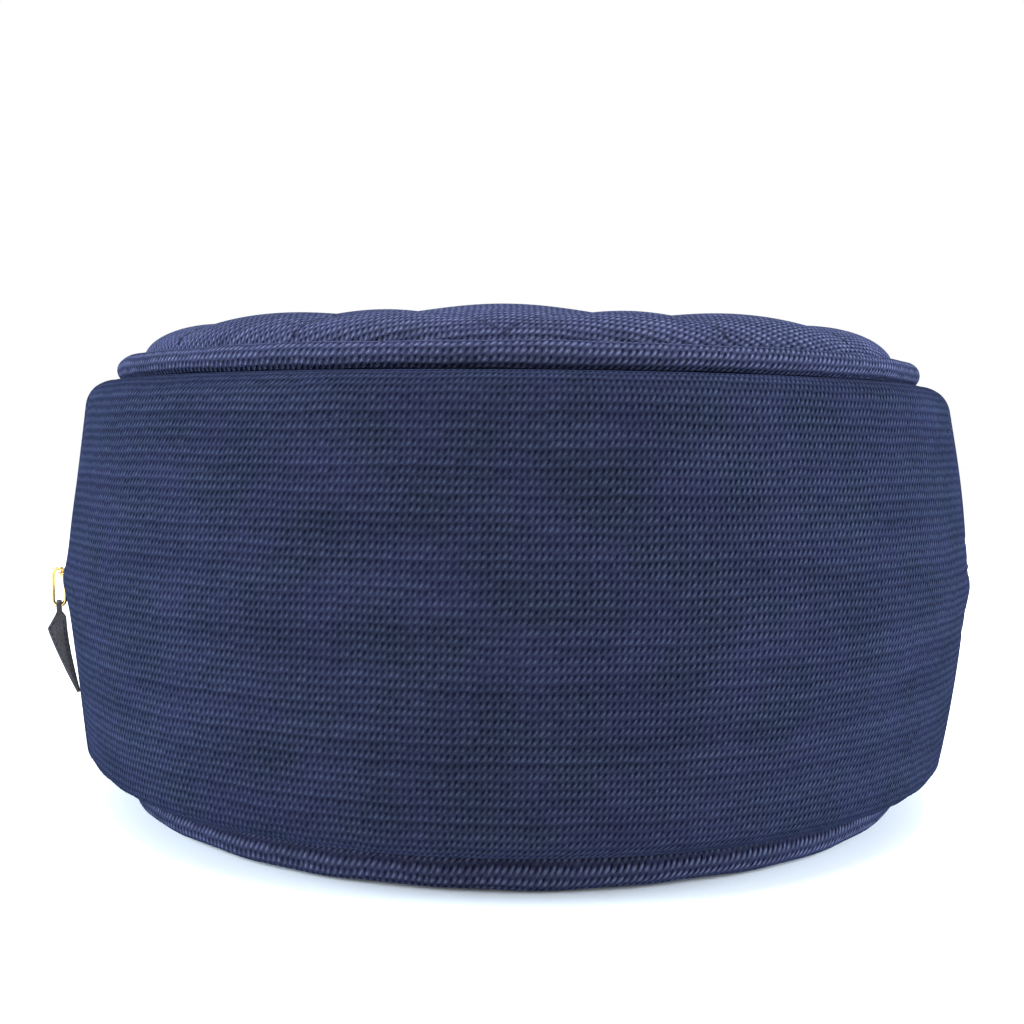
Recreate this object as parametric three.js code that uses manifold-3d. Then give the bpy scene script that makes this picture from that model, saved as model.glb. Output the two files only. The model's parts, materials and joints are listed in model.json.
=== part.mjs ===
// A thick round boxed seat cushion: a zipped cover, sewn from knit, round an inner pad.
//
// Millimetres, +Z up. The origin is the centre of the base, on the surface the cushion stands on.
// The front faces -Y. The zip starts at the left (-X), runs round the back and ends at the right (+X).
// Sections are drawn as [radius, height] and turned about Z. Angles round the cushion are in degrees
// from the front, positive towards +X.
import * as THREE from "three";
import { mergeVertices } from "three/addons/utils/BufferGeometryUtils.js";
import Module from "manifold-3d";

const wasm = await Module();
wasm.setup();

// ---------------------------------------------------------------- driving dimensions

// The cushion as a whole
const GIRTH_RADIUS = 180; // widest point, on the ridge half way up the band
const BAND_HEIGHT = 150; // lower seam to upper seam
const CROWN_RISE = 28; // top of the crown above the upper seam
const CROWN_POWER = 8; // the higher, the flatter the crown and the steeper its edge
const BASE_DROP = 13; // flat base below the lower seam
const BASE_FLAT = 0.8; // share of the base's radius that rests flat
const BASE_POWER = 2; // how the base rounds up past its flat
const SHOULDER_INSET = 7.5; // how far the band leans in between its ridge and its shoulder
const SHOULDER_RADIUS = 9; // rounding where the band turns in to the seam
const SIDE_SEAM_ANGLE = 70; // where the front panel ends and the zip strips begin

// The cover's layers
const KNIT = 1.2; // knit fabric
const INTERLINING = 2; // the stiffener behind the band
const BACKING = 0.6; // woven backing of the quilted faces
const TOP_WADDING = 8; // wadding quilted to the top face
const BASE_WADDING = 5; // the same, pressed by the cushion's weight
const WADDING_WALL = 2; // wadding left round the rim of a face
const WELT_RADIUS = 5; // outside of the padded welt
const WELT_FLANGE = 0.8; // welt cover's knit, pressed thin in the seam
const WELT_INSET = 7; // welt's centre line in from where the band's shoulder ends
const BASE_TUCK = 7; // how much further in everything at the base seam lies than at the top seam
const FACE_RIM = 9; // height above the seam at which a face leaves the welt
const ALLOWANCE = 4.5; // seam allowance past the inside of the welt
const BINDING = 0.5; // binding tape
const BINDING_LAP = 2.8; // how far the binding laps over the raw edges

// The zip
const ZIP_OPENING = 14; // between the folded edges of the two strips
const STRIP_FOLD = 8; // knit turned under along the zip
const TAPE_WIDTH = 12;
const TAPE = 0.6;
const CHAIN_HEIGHT = 6.4; // both rows of teeth together
const CHAIN_THICKNESS = 3.2;
const CHAIN_SLOT = 1.6; // between the rows, where the slider's post runs
const CHAIN_DEPTH = 3; // chain's centre below the band's ridge
const END_TAB_LENGTH = 12;
const STOP_LENGTH = 3;
const STOP_GRIP = 1.8; // how far a stop reaches over its tape
const STOP_WALL = 0.8;

// The slider and its pull
const SLIDER_LENGTH = 15;
const SLIDER_HEIGHT = 12;
const SLIDER_TAIL_HEIGHT = 9;
const SLIDER_TAPER = 10; // length over which the plates widen from tail to nose
const SLIDER_CORNER = 1.5;
const SLIDER_PLATE = 1.4;
const FLANGE_LENGTH = 10; // of the rims that keep the teeth in, from the tail
const POST_LENGTH = 3.5;
const POST_HEIGHT = 1;
const POST_SETBACK = 1; // post's front behind the nose
const BAIL_RADIUS = 0.8; // the round bar that the ring hangs on
const BAIL_SPAN = 7.2; // clear length of the bar
const BAIL_LEG = 1.6; // thickness of each leg
const RING_WIRE = 1.5;
const RING_INSIDE = 3;
const RING_DROP = 10.1; // between the centres of the ring's two round ends
const TAB_THICKNESS = 3;
const TAB_LEATHER = 1.2;
const TAB_LENGTH = 32; // from the neck to the tip
const TAB_LEAN = 7; // how far the tip hangs in towards the cushion
const TAB_BELLY = 4.2; // how far the outer edge swells past the neck's line
const TAB_BACK = 2.6; // how far the inner edge lies inside the neck's line
const TAB_SHOULDER = 2.5; // where the swelling starts, below the neck
const TAB_TIP = 0.6; // half the width of the tip

// The inner pad
const CASE = 0.6;
const PAD_WADDING = 12;
const PAD_SLACK = 3; // how much smaller the pad is, all round, than the cover's inside
const PAD_SHOULDER = 8; // pad's top edge below the seam

// Fits
const GAP = 0.3; // between layers that touch
const LOOSE = 0.5; // between the cover's backing and the pad
const RUNNING = 0.4; // slider on the chain, ring on the bail, tab on the ring
const SEGMENTS = 32; // flats round a full turn

// ---------------------------------------------------------------- sizes that follow

const MID = BASE_DROP + BAND_HEIGHT / 2; // height of the ridge
const SHOULDER_CENTRE = GIRTH_RADIUS - SHOULDER_INSET - SHOULDER_RADIUS;
const SHOULDER_START = BAND_HEIGHT / 2 - SHOULDER_RADIUS;
const WELT_CENTRE = SHOULDER_CENTRE - WELT_INSET;
const WELT_LIFT = GAP + WELT_RADIUS; // welt's centre line above the seam
const ALLOWANCE_EDGE = WELT_CENTRE - WELT_RADIUS - ALLOWANCE;
const FACE_RADIUS = WELT_CENTRE - WELT_RADIUS - GAP;
const FLANGE = BINDING + GAP; // step from one layer of the seam to the next
const KNIT_FLANGE_LOW = 3 * GAP + 2 * WELT_FLANGE;
const FACE_LOW = KNIT_FLANGE_LOW + KNIT + GAP + FLANGE;
const LINING_DEPTH = KNIT + GAP;
const PAD_RADIUS = GIRTH_RADIUS - SHOULDER_INSET - LINING_DEPTH - INTERLINING - PAD_SLACK;
// How far the middle of a flat facet lies inside the true circle.
const FACET_SAG = GIRTH_RADIUS * (1 - Math.cos(Math.PI / SEGMENTS));

// ---------------------------------------------------------------- helpers

const rad = THREE.MathUtils.degToRad;
const arcAngle = (length) => THREE.MathUtils.radToDeg(length / GIRTH_RADIUS);

function solidOf(geometry) {
  const bare = geometry.clone();
  for (const name of Object.keys(bare.attributes)) if (name !== "position") bare.deleteAttribute(name);
  const merged = mergeVertices(bare, 1e-4);
  return new wasm.Manifold(
    new wasm.Mesh({
      numProp: 3,
      vertProperties: new Float32Array(merged.attributes.position.array),
      triVerts: new Uint32Array(merged.index.array),
    }),
  );
}

function geometryOf(solid) {
  const mesh = solid.getMesh();
  const points = new Float32Array(mesh.numVert * 3);
  for (let i = 0; i < mesh.numVert; i++)
    points.set(mesh.vertProperties.subarray(i * mesh.numProp, i * mesh.numProp + 3), i * 3);
  const geometry = new THREE.BufferGeometry();
  geometry.setAttribute("position", new THREE.BufferAttribute(points, 3));
  geometry.setIndex(new THREE.BufferAttribute(new Uint32Array(mesh.triVerts), 1));
  geometry.computeVertexNormals();
  return geometry;
}

// A closed section turned about Z. A section that touches the axis starts and ends on it.
function turned(section) {
  const area = section.reduce((sum, [r, z], i) => {
    const [nextR, nextZ] = section[(i + 1) % section.length];
    return sum + r * nextZ - nextR * z;
  }, 0);
  const points = area > 0 ? [...section] : [...section].reverse();
  if (section[0][0] > 0) points.push(points[0]);
  const geometry = new THREE.LatheGeometry(points.map(([r, z]) => new THREE.Vector2(r, z)), SEGMENTS);
  return geometry.rotateX(Math.PI / 2);
}

const WEDGE_STEP = 30; // widest angle of one triangle of a wedge

// The part of a turned section between two angles.
function arc(section, from, to) {
  const reach = 2 * GIRTH_RADIUS;
  const wedge = new THREE.Shape([new THREE.Vector2(0, 0)]);
  const steps = Math.ceil((to - from) / WEDGE_STEP);
  for (let i = 0; i <= steps; i++) {
    const angle = rad(from + ((to - from) * i) / steps);
    wedge.lineTo(reach * Math.sin(angle), -reach * Math.cos(angle));
  }
  const slice = new THREE.ExtrudeGeometry(wedge, { depth: 4 * MID, bevelEnabled: false });
  slice.translate(0, 0, -MID);
  return geometryOf(solidOf(turned(section)).intersect(solidOf(slice)));
}

// A box from its limits: outwards, along the zip and upwards.
function block(r0, r1, y0, y1, z0, z1) {
  const box = new THREE.BoxGeometry(r1 - r0, y1 - y0, z1 - z0);
  return box.translate((r0 + r1) / 2, (y0 + y1) / 2, (z0 + z1) / 2);
}

const joined = (...geometries) => geometries.map(solidOf).reduce((all, next) => all.add(next));

const cloth = (colour) => new THREE.MeshStandardMaterial({ color: colour, roughness: 0.95, metalness: 0 });
const NAVY_KNIT = cloth(0x232c52);
const NAVY_TAPE = cloth(0x1c2340);
const WOVEN = cloth(0x2b2f3d);
const WADDING = cloth(0xf0efe9);
const CALICO = cloth(0xe4dccb);
const FOAM = cloth(0xe9e2c4);
const GOLD = new THREE.MeshStandardMaterial({ color: 0xd9b25f, roughness: 0.25, metalness: 1 });
const LEATHER = new THREE.MeshStandardMaterial({ color: 0x17171a, roughness: 0.55, metalness: 0 });

const cushion = new THREE.Group();

function add(name, geometry, material, parent = cushion) {
  const mesh = new THREE.Mesh(geometry, material);
  mesh.name = name;
  parent.add(mesh);
}

// ---------------------------------------------------------------- band

// Outer radius of the band at a height above or below the ridge, between its two shoulders.
const bandRadius = (height) => GIRTH_RADIUS - (SHOULDER_INSET * Math.abs(height)) / SHOULDER_START;

// The band's line at a depth under its face, from a height above the ridge up to the seam,
// ending at an inner radius. A tuck rolls the shoulder further in.
function bandLine(depth, start, edge, tuck) {
  const line = [[bandRadius(start) - depth, start]];
  const rise = SHOULDER_RADIUS - depth;
  const run = rise + tuck;
  for (const turn of [0, 45, 90].map(rad))
    line.push([SHOULDER_CENTRE - tuck + run * Math.cos(turn), SHOULDER_START + rise * Math.sin(turn)]);
  line.push([edge - tuck, BAND_HEIGHT / 2 - depth]);
  return line;
}

const tuckOn = (side) => (side < 0 ? BASE_TUCK : 0);

const atMid = (side, line) => line.map(([r, z]) => [r, MID + side * z]);
const upsideDown = (line) => line.map(([r, z]) => [r, -z]);

// A layer that runs from the lower seam to the upper seam.
function wholeBand(near, far, edge) {
  const [outer, inner] = [near, far].map((depth) => [
    ...upsideDown(bandLine(depth, 0, edge, BASE_TUCK)).reverse(),
    ...bandLine(depth, 0, edge, 0).slice(1),
  ]);
  return atMid(1, [...outer, ...inner.reverse()]);
}

const LINING_EDGE = ALLOWANCE_EDGE + BINDING_LAP + GAP * 2;
const seamGap = arcAngle(GAP / 2);
const frontEnd = SIDE_SEAM_ANGLE - seamGap;
const zipEnd = SIDE_SEAM_ANGLE + seamGap;

add("band_knit", arc(wholeBand(0, KNIT, ALLOWANCE_EDGE), -frontEnd, frontEnd), NAVY_KNIT);
add(
  "band_interlining",
  arc(wholeBand(LINING_DEPTH, LINING_DEPTH + INTERLINING, LINING_EDGE), -frontEnd, frontEnd),
  WOVEN,
);

// ---------------------------------------------------------------- zip strips, tapes and chain

const STRIP_EDGE = ZIP_OPENING / 2;
const TAPE_DEPTH = 2 * KNIT + GAP; // the tape lies under the doubled edge of the knit
const TAPE_START = CHAIN_HEIGHT / 2 + GAP;
const TAPE_END = TAPE_START + TAPE_WIDTH;
const CHAIN_RADIUS = GIRTH_RADIUS - CHAIN_DEPTH;
const chainInside = CHAIN_RADIUS - CHAIN_THICKNESS / 2;
const chainOutside = CHAIN_RADIUS + CHAIN_THICKNESS / 2;

const stripSection = (tuck) => [
  ...bandLine(0, STRIP_EDGE, ALLOWANCE_EDGE, tuck),
  ...bandLine(KNIT, STRIP_EDGE + STRIP_FOLD, ALLOWANCE_EDGE, tuck).reverse(),
  [bandRadius(STRIP_EDGE + STRIP_FOLD) - 2 * KNIT, STRIP_EDGE + STRIP_FOLD],
  [bandRadius(STRIP_EDGE) - 2 * KNIT, STRIP_EDGE],
];
const backLiningSection = (tuck) => [
  ...bandLine(LINING_DEPTH, TAPE_END + GAP, LINING_EDGE, tuck),
  ...bandLine(LINING_DEPTH + INTERLINING, TAPE_END + GAP, LINING_EDGE, tuck).reverse(),
];
const tapeSection = [TAPE_DEPTH, TAPE_DEPTH + TAPE].flatMap((depth, i) => {
  const heights = i ? [TAPE_END, TAPE_START] : [TAPE_START, TAPE_END];
  return heights.map((height) => [bandRadius(height) - depth, height]);
});
const rowSection = [
  [chainInside, CHAIN_SLOT / 2],
  [chainOutside, CHAIN_SLOT / 2],
  [chainOutside, CHAIN_HEIGHT / 2],
  [chainInside, CHAIN_HEIGHT / 2],
];

const tabEnd = zipEnd + arcAngle(END_TAB_LENGTH);
const stopStart = tabEnd + arcAngle(GAP);
const chainStart = stopStart + arcAngle(STOP_LENGTH + GAP);
const roundTheBack = (angle) => 360 - angle;

for (const [name, side] of [["upper", 1], ["lower", -1]]) {
  const onSide = (section) => atMid(side, section);
  const toEnd = roundTheBack(zipEnd);
  add(`zip_strip_${name}`, arc(onSide(stripSection(tuckOn(side))), zipEnd, toEnd), NAVY_KNIT);
  const lining = onSide(backLiningSection(tuckOn(side)));
  add(`zip_strip_interlining_${name}`, arc(lining, zipEnd, toEnd), WOVEN);
  add(`zip_tape_${name}`, arc(onSide(tapeSection), zipEnd, toEnd), NAVY_TAPE);
  add(`zip_teeth_${name}`, arc(onSide(rowSection), chainStart, roundTheBack(chainStart)), GOLD);
}

// A folded knit tab covers each end of the tapes, between the strips' edges.
const tabHeight = STRIP_EDGE - GAP;
const endTabSection = atMid(1, [
  [bandRadius(tabHeight), -tabHeight],
  [GIRTH_RADIUS, 0],
  [bandRadius(tabHeight), tabHeight],
  [bandRadius(tabHeight) - 2 * KNIT, tabHeight],
  [GIRTH_RADIUS - 2 * KNIT, 0],
  [bandRadius(tabHeight) - 2 * KNIT, -tabHeight],
]);
add("zip_end_tab_right", arc(endTabSection, zipEnd, tabEnd), NAVY_KNIT);
add("zip_end_tab_left", arc(endTabSection, roundTheBack(tabEnd), roundTheBack(zipEnd)), NAVY_KNIT);

// A group whose +X points out of the cushion at an angle, at the height of the ridge.
function stationAt(angle) {
  const station = new THREE.Group();
  station.position.z = MID;
  station.rotation.z = rad(angle - 90);
  cushion.add(station);
  return station;
}

// Stops are metal clips that grip a tape from its chain edge.
const stopReach = TAPE_START + STOP_GRIP;
const slotOut = bandRadius(TAPE_START) - TAPE_DEPTH + GAP;
const slotIn = bandRadius(stopReach) - TAPE_DEPTH - TAPE - FACET_SAG - GAP;
const stopInside = slotIn - STOP_WALL;

function slotFor(side) {
  const [low, high] = [side * (TAPE_START - GAP), side * (stopReach + STOP_WALL)].sort((a, b) => a - b);
  return block(slotIn, slotOut, -STOP_LENGTH, STOP_LENGTH, low, high);
}

const stopAngle = stopStart + arcAngle(STOP_LENGTH / 2);
for (const [name, side] of [["upper", 1], ["lower", -1]]) {
  const [low, high] = [side * (CHAIN_SLOT / 2), side * stopReach].sort((a, b) => a - b);
  const clip = block(stopInside, chainOutside, -STOP_LENGTH / 2, STOP_LENGTH / 2, low, high);
  const cut = solidOf(clip).subtract(solidOf(slotFor(side)));
  add(`zip_top_stop_${name}`, geometryOf(cut), GOLD, stationAt(-stopAngle));
}
const halfStop = STOP_LENGTH / 2;
const bothTapes = block(stopInside, chainOutside, -halfStop, halfStop, -stopReach, stopReach);
const bottomStop = solidOf(bothTapes).subtract(solidOf(slotFor(1))).subtract(solidOf(slotFor(-1)));
add("zip_bottom_stop", geometryOf(bottomStop), GOLD, stationAt(stopAngle));

// ---------------------------------------------------------------- slider, ring and tab

const sliderAngle = chainStart + arcAngle(SLIDER_LENGTH / 2 + GAP);
const slider = stationAt(-sliderAngle);

const outerPlateIn = chainOutside + RUNNING;
const outerPlateOut = outerPlateIn + SLIDER_PLATE;
const innerPlateOut = chainInside - FACET_SAG - RUNNING;
const innerPlateIn = innerPlateOut - SLIDER_PLATE;

// The slider is widest at its nose, which points at the top stops.
function shield(r0, r1) {
  const nose = SLIDER_LENGTH / 2;
  const outline = new THREE.Shape([
    [-nose, -SLIDER_TAIL_HEIGHT / 2],
    [SLIDER_TAPER - nose, -SLIDER_HEIGHT / 2],
    [nose - SLIDER_CORNER, -SLIDER_HEIGHT / 2],
    [nose, SLIDER_CORNER - SLIDER_HEIGHT / 2],
    [nose, SLIDER_HEIGHT / 2 - SLIDER_CORNER],
    [nose - SLIDER_CORNER, SLIDER_HEIGHT / 2],
    [SLIDER_TAPER - nose, SLIDER_HEIGHT / 2],
    [-nose, SLIDER_TAIL_HEIGHT / 2],
  ].map(([y, z]) => new THREE.Vector2(y, z)));
  const geometry = new THREE.ExtrudeGeometry(outline, { depth: r1 - r0, bevelEnabled: false });
  // The outline's plane [x, y] becomes [along the zip, up], and its depth points outwards.
  const turn = new THREE.Matrix4().makeBasis(
    new THREE.Vector3(0, 1, 0), new THREE.Vector3(0, 0, 1), new THREE.Vector3(1, 0, 0));
  return geometry.applyMatrix4(turn).translate(r0, 0, 0);
}

const FLANGE_TAIL = SLIDER_TAIL_HEIGHT / 2;
const flangeIn = CHAIN_HEIGHT / 2 + RUNNING;
const tapeOut = bandRadius(flangeIn) - TAPE_DEPTH + RUNNING;
const tapeIn = bandRadius(FLANGE_TAIL) - TAPE_DEPTH - TAPE - FACET_SAG - RUNNING;
const flanges = [1, -1].flatMap((side) => {
  const [low, high] = [side * flangeIn, side * FLANGE_TAIL].sort((a, b) => a - b);
  const span = [-SLIDER_LENGTH / 2, FLANGE_LENGTH - SLIDER_LENGTH / 2, low, high];
  return [
    block(tapeOut, outerPlateIn + SLIDER_PLATE / 2, ...span),
    block(innerPlateOut - SLIDER_PLATE / 2, tapeIn, ...span),
  ];
});
const postFront = SLIDER_LENGTH / 2 - POST_SETBACK;
const post = block(
  innerPlateIn, outerPlateOut, postFront - POST_LENGTH, postFront, -POST_HEIGHT / 2, POST_HEIGHT / 2);

// The bail is a bar along the zip, on two legs. The ring's upper end turns round it.
const bailRadius = outerPlateOut + RUNNING + RING_WIRE + RING_INSIDE / 2;
const barLength = BAIL_SPAN + BAIL_LEG;
const bar = new THREE.CylinderGeometry(BAIL_RADIUS, BAIL_RADIUS, barLength, 8).translate(bailRadius, 0, 0);
const legs = [1, -1].map((end) => {
  const y = (end * barLength) / 2;
  const legIn = outerPlateOut - SLIDER_PLATE / 2;
  return block(legIn, bailRadius + BAIL_RADIUS, y - BAIL_LEG / 2, y + BAIL_LEG / 2, -BAIL_LEG, BAIL_LEG);
});
const sliderBody = joined(
  shield(outerPlateIn, outerPlateOut), shield(innerPlateIn, innerPlateOut), post, ...flanges, bar, ...legs);
add("slider_body", geometryOf(sliderBody), GOLD, slider);

// The ring is a link that hangs on the bail like a curtain ring on its rod.
const BEVEL = 0.3;
function link(halfWidth) {
  const outline = new THREE.Path();
  outline.absarc(bailRadius, 0, halfWidth, 0, Math.PI, false);
  outline.absarc(bailRadius, -RING_DROP, halfWidth, Math.PI, 2 * Math.PI, false);
  outline.closePath();
  return outline;
}
const linkShape = new THREE.Shape(link(RING_INSIDE / 2 + RING_WIRE - BEVEL).getPoints(6));
linkShape.holes.push(new THREE.Path(link(RING_INSIDE / 2 + BEVEL).getPoints(6)));
const linkGeometry = new THREE.ExtrudeGeometry(linkShape, {
  depth: RING_WIRE - 2 * BEVEL, bevelThickness: BEVEL, bevelSize: BEVEL, bevelSegments: 1,
}).translate(0, 0, -RING_WIRE / 2 + BEVEL).rotateX(Math.PI / 2);
add("pull_ring", geometryOf(solidOf(linkGeometry)), GOLD, slider);

// The tab is a leather strap folded round the ring's lower end and sewn to itself.
const wireDrop = RING_DROP + (RING_INSIDE + RING_WIRE) / 2; // centre of the ring's lowest wire
const tunnelHalf = RING_WIRE / 2 + RUNNING;
const neckHalf = RING_INSIDE / 2 - 2 * GAP;
const neckHalfThickness = tunnelHalf + TAB_LEATHER;
const tunnelTop = -wireDrop + tunnelHalf + GAP;
const neckBottom = -wireDrop - tunnelHalf - TAB_LEATHER;
const tabShape = new THREE.Shape();
tabShape.moveTo(-neckHalf, 0);
tabShape.lineTo(-TAB_BACK, -TAB_SHOULDER);
tabShape.quadraticCurveTo(-TAB_BACK, -TAB_LENGTH / 2, -TAB_LEAN - TAB_TIP, TAB_TIP - TAB_LENGTH);
tabShape.lineTo(TAB_TIP - TAB_LEAN, -TAB_LENGTH);
tabShape.quadraticCurveTo(TAB_BELLY, -TAB_LENGTH / 2, TAB_BELLY, -2 * TAB_SHOULDER);
tabShape.lineTo(neckHalf, 0);
const tabGeometry = new THREE.ExtrudeGeometry(tabShape, {
  depth: TAB_THICKNESS, bevelEnabled: false, curveSegments: 4,
}).rotateX(Math.PI / 2).translate(bailRadius, TAB_THICKNESS / 2, neckBottom);
const neck = block(bailRadius - neckHalf, bailRadius + neckHalf, -neckHalfThickness, neckHalfThickness,
  neckBottom - TAB_SHOULDER, tunnelTop + TAB_LEATHER);
const tunnel = block(bailRadius - RING_INSIDE, bailRadius + RING_INSIDE, -tunnelHalf, tunnelHalf,
  -wireDrop - tunnelHalf, tunnelTop);
const tab = joined(tabGeometry, neck).subtract(solidOf(tunnel));
add("pull_tab", geometryOf(tab), LEATHER, slider);

// ---------------------------------------------------------------- faces, welts and inner pad

const STATIONS = [0, 0.7, 0.92, 1]; // share of the face's radius at which a section has a point

// Height share of a soft crown: 1 over the flat middle, falling ever more steeply to 0 at the rim.
function crown(share, flat, power) {
  const along = Math.max(0, (share - flat) / (1 - flat));
  return Math.sqrt(Math.max(0, 1 - along ** power));
}

function face(name, side, rise, wadding, flat, power) {
  const dome = (radius, rim, top) =>
    STATIONS.map((share) => [share * radius, rim + (top - rim) * crown(share, flat, power)]);
  const put = (piece, section, material) =>
    add(piece, turned(section.map(([r, z]) => [r, MID + side * (BAND_HEIGHT / 2 + z)])), material);
  const faceRadius = FACE_RADIUS - tuckOn(side);
  const weltCentre = WELT_CENTRE - tuckOn(side);
  const allowanceEdge = ALLOWANCE_EDGE - tuckOn(side);

  // Quilted knit: over the wadding, down behind the welt and into the seam.
  put(`${name}_face_knit`, [
    ...dome(faceRadius - KNIT, FACE_RIM, rise - KNIT),
    [faceRadius - KNIT, KNIT_FLANGE_LOW + KNIT],
    [allowanceEdge, KNIT_FLANGE_LOW + KNIT],
    [allowanceEdge, KNIT_FLANGE_LOW],
    [faceRadius, KNIT_FLANGE_LOW],
    ...dome(faceRadius, FACE_RIM, rise).reverse(),
  ], NAVY_KNIT);

  const waddingTop = KNIT + GAP;
  const waddingEdge = faceRadius - waddingTop;
  const liningRadius = waddingEdge - WADDING_WALL;
  const waddingLow = rise - waddingTop - wadding;
  put(`${name}_face_wadding`, [
    ...dome(liningRadius, FACE_LOW, waddingLow),
    [waddingEdge, FACE_LOW],
    ...dome(waddingEdge, FACE_RIM, rise - waddingTop).reverse(),
  ], WADDING);

  put(`${name}_face_backing`, [
    ...dome(liningRadius - GAP - BACKING, FACE_LOW, waddingLow - GAP - BACKING),
    ...dome(liningRadius - GAP, FACE_LOW, waddingLow - GAP).reverse(),
  ], WOVEN);

  // The welt's cover wraps the cord, and its two edges lie together in the seam.
  const octagonPoint = (radius, turn) =>
    [weltCentre + radius * Math.cos(rad(turn)), WELT_LIFT + radius * Math.sin(rad(turn))];
  const insideRadius = WELT_RADIUS - KNIT;
  put(`${name}_welt_cover`, [
    [allowanceEdge, GAP],
    ...[-90, -30, 30, 90, 150].map((turn) => octagonPoint(WELT_RADIUS, turn)),
    [weltCentre - WELT_RADIUS, GAP * 2 + WELT_FLANGE * 2],
    [allowanceEdge, GAP * 2 + WELT_FLANGE * 2],
    [allowanceEdge, GAP * 2 + WELT_FLANGE],
    [weltCentre - insideRadius, GAP * 2 + WELT_FLANGE],
    ...[150, 90, 30, -30, -90].map((turn) => octagonPoint(insideRadius, turn)),
    [allowanceEdge, GAP + WELT_FLANGE],
  ], NAVY_KNIT);
  put(`${name}_welt_cord`, [150, 90, 30, -30, -90, -150].map((turn) =>
    octagonPoint(insideRadius - GAP, turn)), WADDING);

  const bindingIn = allowanceEdge - GAP - BINDING;
  const bindingOut = allowanceEdge + BINDING_LAP - BINDING;
  const bindingLow = -LINING_DEPTH;
  const bindingHigh = KNIT_FLANGE_LOW + KNIT + GAP;
  put(`${name}_seam_binding`, [
    [bindingIn, bindingLow - BINDING],
    [bindingOut, bindingLow - BINDING],
    [bindingOut, bindingLow],
    [bindingIn + BINDING, bindingLow],
    [bindingIn + BINDING, bindingHigh],
    [bindingOut, bindingHigh],
    [bindingOut, bindingHigh + BINDING],
    [bindingIn, bindingHigh + BINDING],
  ], WOVEN);

  // The pad fills the cover, and its crown rises inside the ring of bound seam allowances.
  const padTop = waddingLow - GAP - BACKING - LOOSE;
  const padRim = -LINING_DEPTH - INTERLINING - LOOSE;
  const padEdge = bindingIn - LOOSE;
  const sheetLow = -PAD_SHOULDER - PAD_WADDING;
  put(`inner_case_${name}`, [
    ...dome(padEdge - CASE, padRim - CASE, padTop - CASE),
    [PAD_RADIUS - CASE, -PAD_SHOULDER - CASE],
    [PAD_RADIUS, -PAD_SHOULDER],
    ...dome(padEdge, padRim, padTop).reverse(),
  ], CALICO);
  const skin = CASE + GAP;
  const coreRadius = PAD_RADIUS - skin - PAD_WADDING;
  put(`inner_wadding_${name}`, [
    ...dome(coreRadius, sheetLow, padTop - skin - PAD_WADDING),
    [PAD_RADIUS - skin, sheetLow],
    [PAD_RADIUS - skin, -PAD_SHOULDER - skin],
    ...dome(padEdge - skin, padRim - skin, padTop - skin).reverse(),
  ], WADDING);
  return dome(coreRadius - GAP, sheetLow - GAP, padTop - skin - PAD_WADDING - GAP)
    .map(([r, z]) => [r, MID + side * (BAND_HEIGHT / 2 + z)]);
}

const coreTop = face("top", 1, CROWN_RISE, TOP_WADDING, 0, CROWN_POWER);
const coreBase = face("base", -1, BASE_DROP, BASE_WADDING, BASE_FLAT, BASE_POWER);

const padWall = (thickness, inset, reach) => {
  const half = BAND_HEIGHT / 2 - reach;
  const [outer, inner] = [PAD_RADIUS - inset, PAD_RADIUS - inset - thickness];
  return turned([[inner, MID - half], [outer, MID - half], [outer, MID + half], [inner, MID + half]]);
};
add("inner_case_band", padWall(CASE, 0, PAD_SHOULDER + CASE + GAP), CALICO);
add("inner_wadding_band", padWall(PAD_WADDING, CASE + GAP, PAD_SHOULDER + PAD_WADDING + GAP), WADDING);
add("foam_core", turned([...coreBase, ...coreTop.reverse()]), FOAM);

export default cushion;
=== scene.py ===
# %% [markdown]
# # A thick round seat cushion with a zipped cover
# The cushion is a drum: two quilted faces and a tall knitted band, sewn together over a padded
# welt at each edge. A zip runs round the back, and its slider hangs on the left.
# The fixed CAD model gives every size and place. What is made here is the look: the cloth with
# its stitches, the billows between the quilting lines, the zip's teeth and the leather pull.

# %% Load the frame
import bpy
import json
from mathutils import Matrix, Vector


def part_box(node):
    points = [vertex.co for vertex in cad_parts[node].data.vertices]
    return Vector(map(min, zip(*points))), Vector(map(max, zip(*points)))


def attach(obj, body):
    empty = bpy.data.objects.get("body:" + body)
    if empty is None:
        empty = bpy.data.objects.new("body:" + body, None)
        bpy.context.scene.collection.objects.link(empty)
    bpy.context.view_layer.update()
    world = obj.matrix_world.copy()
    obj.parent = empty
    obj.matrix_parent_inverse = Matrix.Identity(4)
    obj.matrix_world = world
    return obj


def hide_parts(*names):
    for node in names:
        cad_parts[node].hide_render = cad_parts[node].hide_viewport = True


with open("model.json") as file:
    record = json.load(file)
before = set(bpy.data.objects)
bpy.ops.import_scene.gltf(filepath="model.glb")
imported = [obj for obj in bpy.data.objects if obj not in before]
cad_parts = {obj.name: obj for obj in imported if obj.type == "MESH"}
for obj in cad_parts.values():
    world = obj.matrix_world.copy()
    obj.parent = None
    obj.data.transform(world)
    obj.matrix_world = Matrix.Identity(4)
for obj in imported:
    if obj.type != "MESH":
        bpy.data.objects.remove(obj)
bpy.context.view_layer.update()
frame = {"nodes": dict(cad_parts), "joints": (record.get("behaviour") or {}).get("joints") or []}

import json
import math

import bpy
import numpy as np
from mathutils import Matrix, Vector

MM = 0.001

# %% [markdown]
# ## Places that everything is measured from
# A sewn object is laid out from a few lines: the two seams, the ridge half way up the band, the
# centre line of each welt and the edge of each face. They could be typed in again, but reading
# them from the frame keeps the looks on the model when a size changes.

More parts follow.
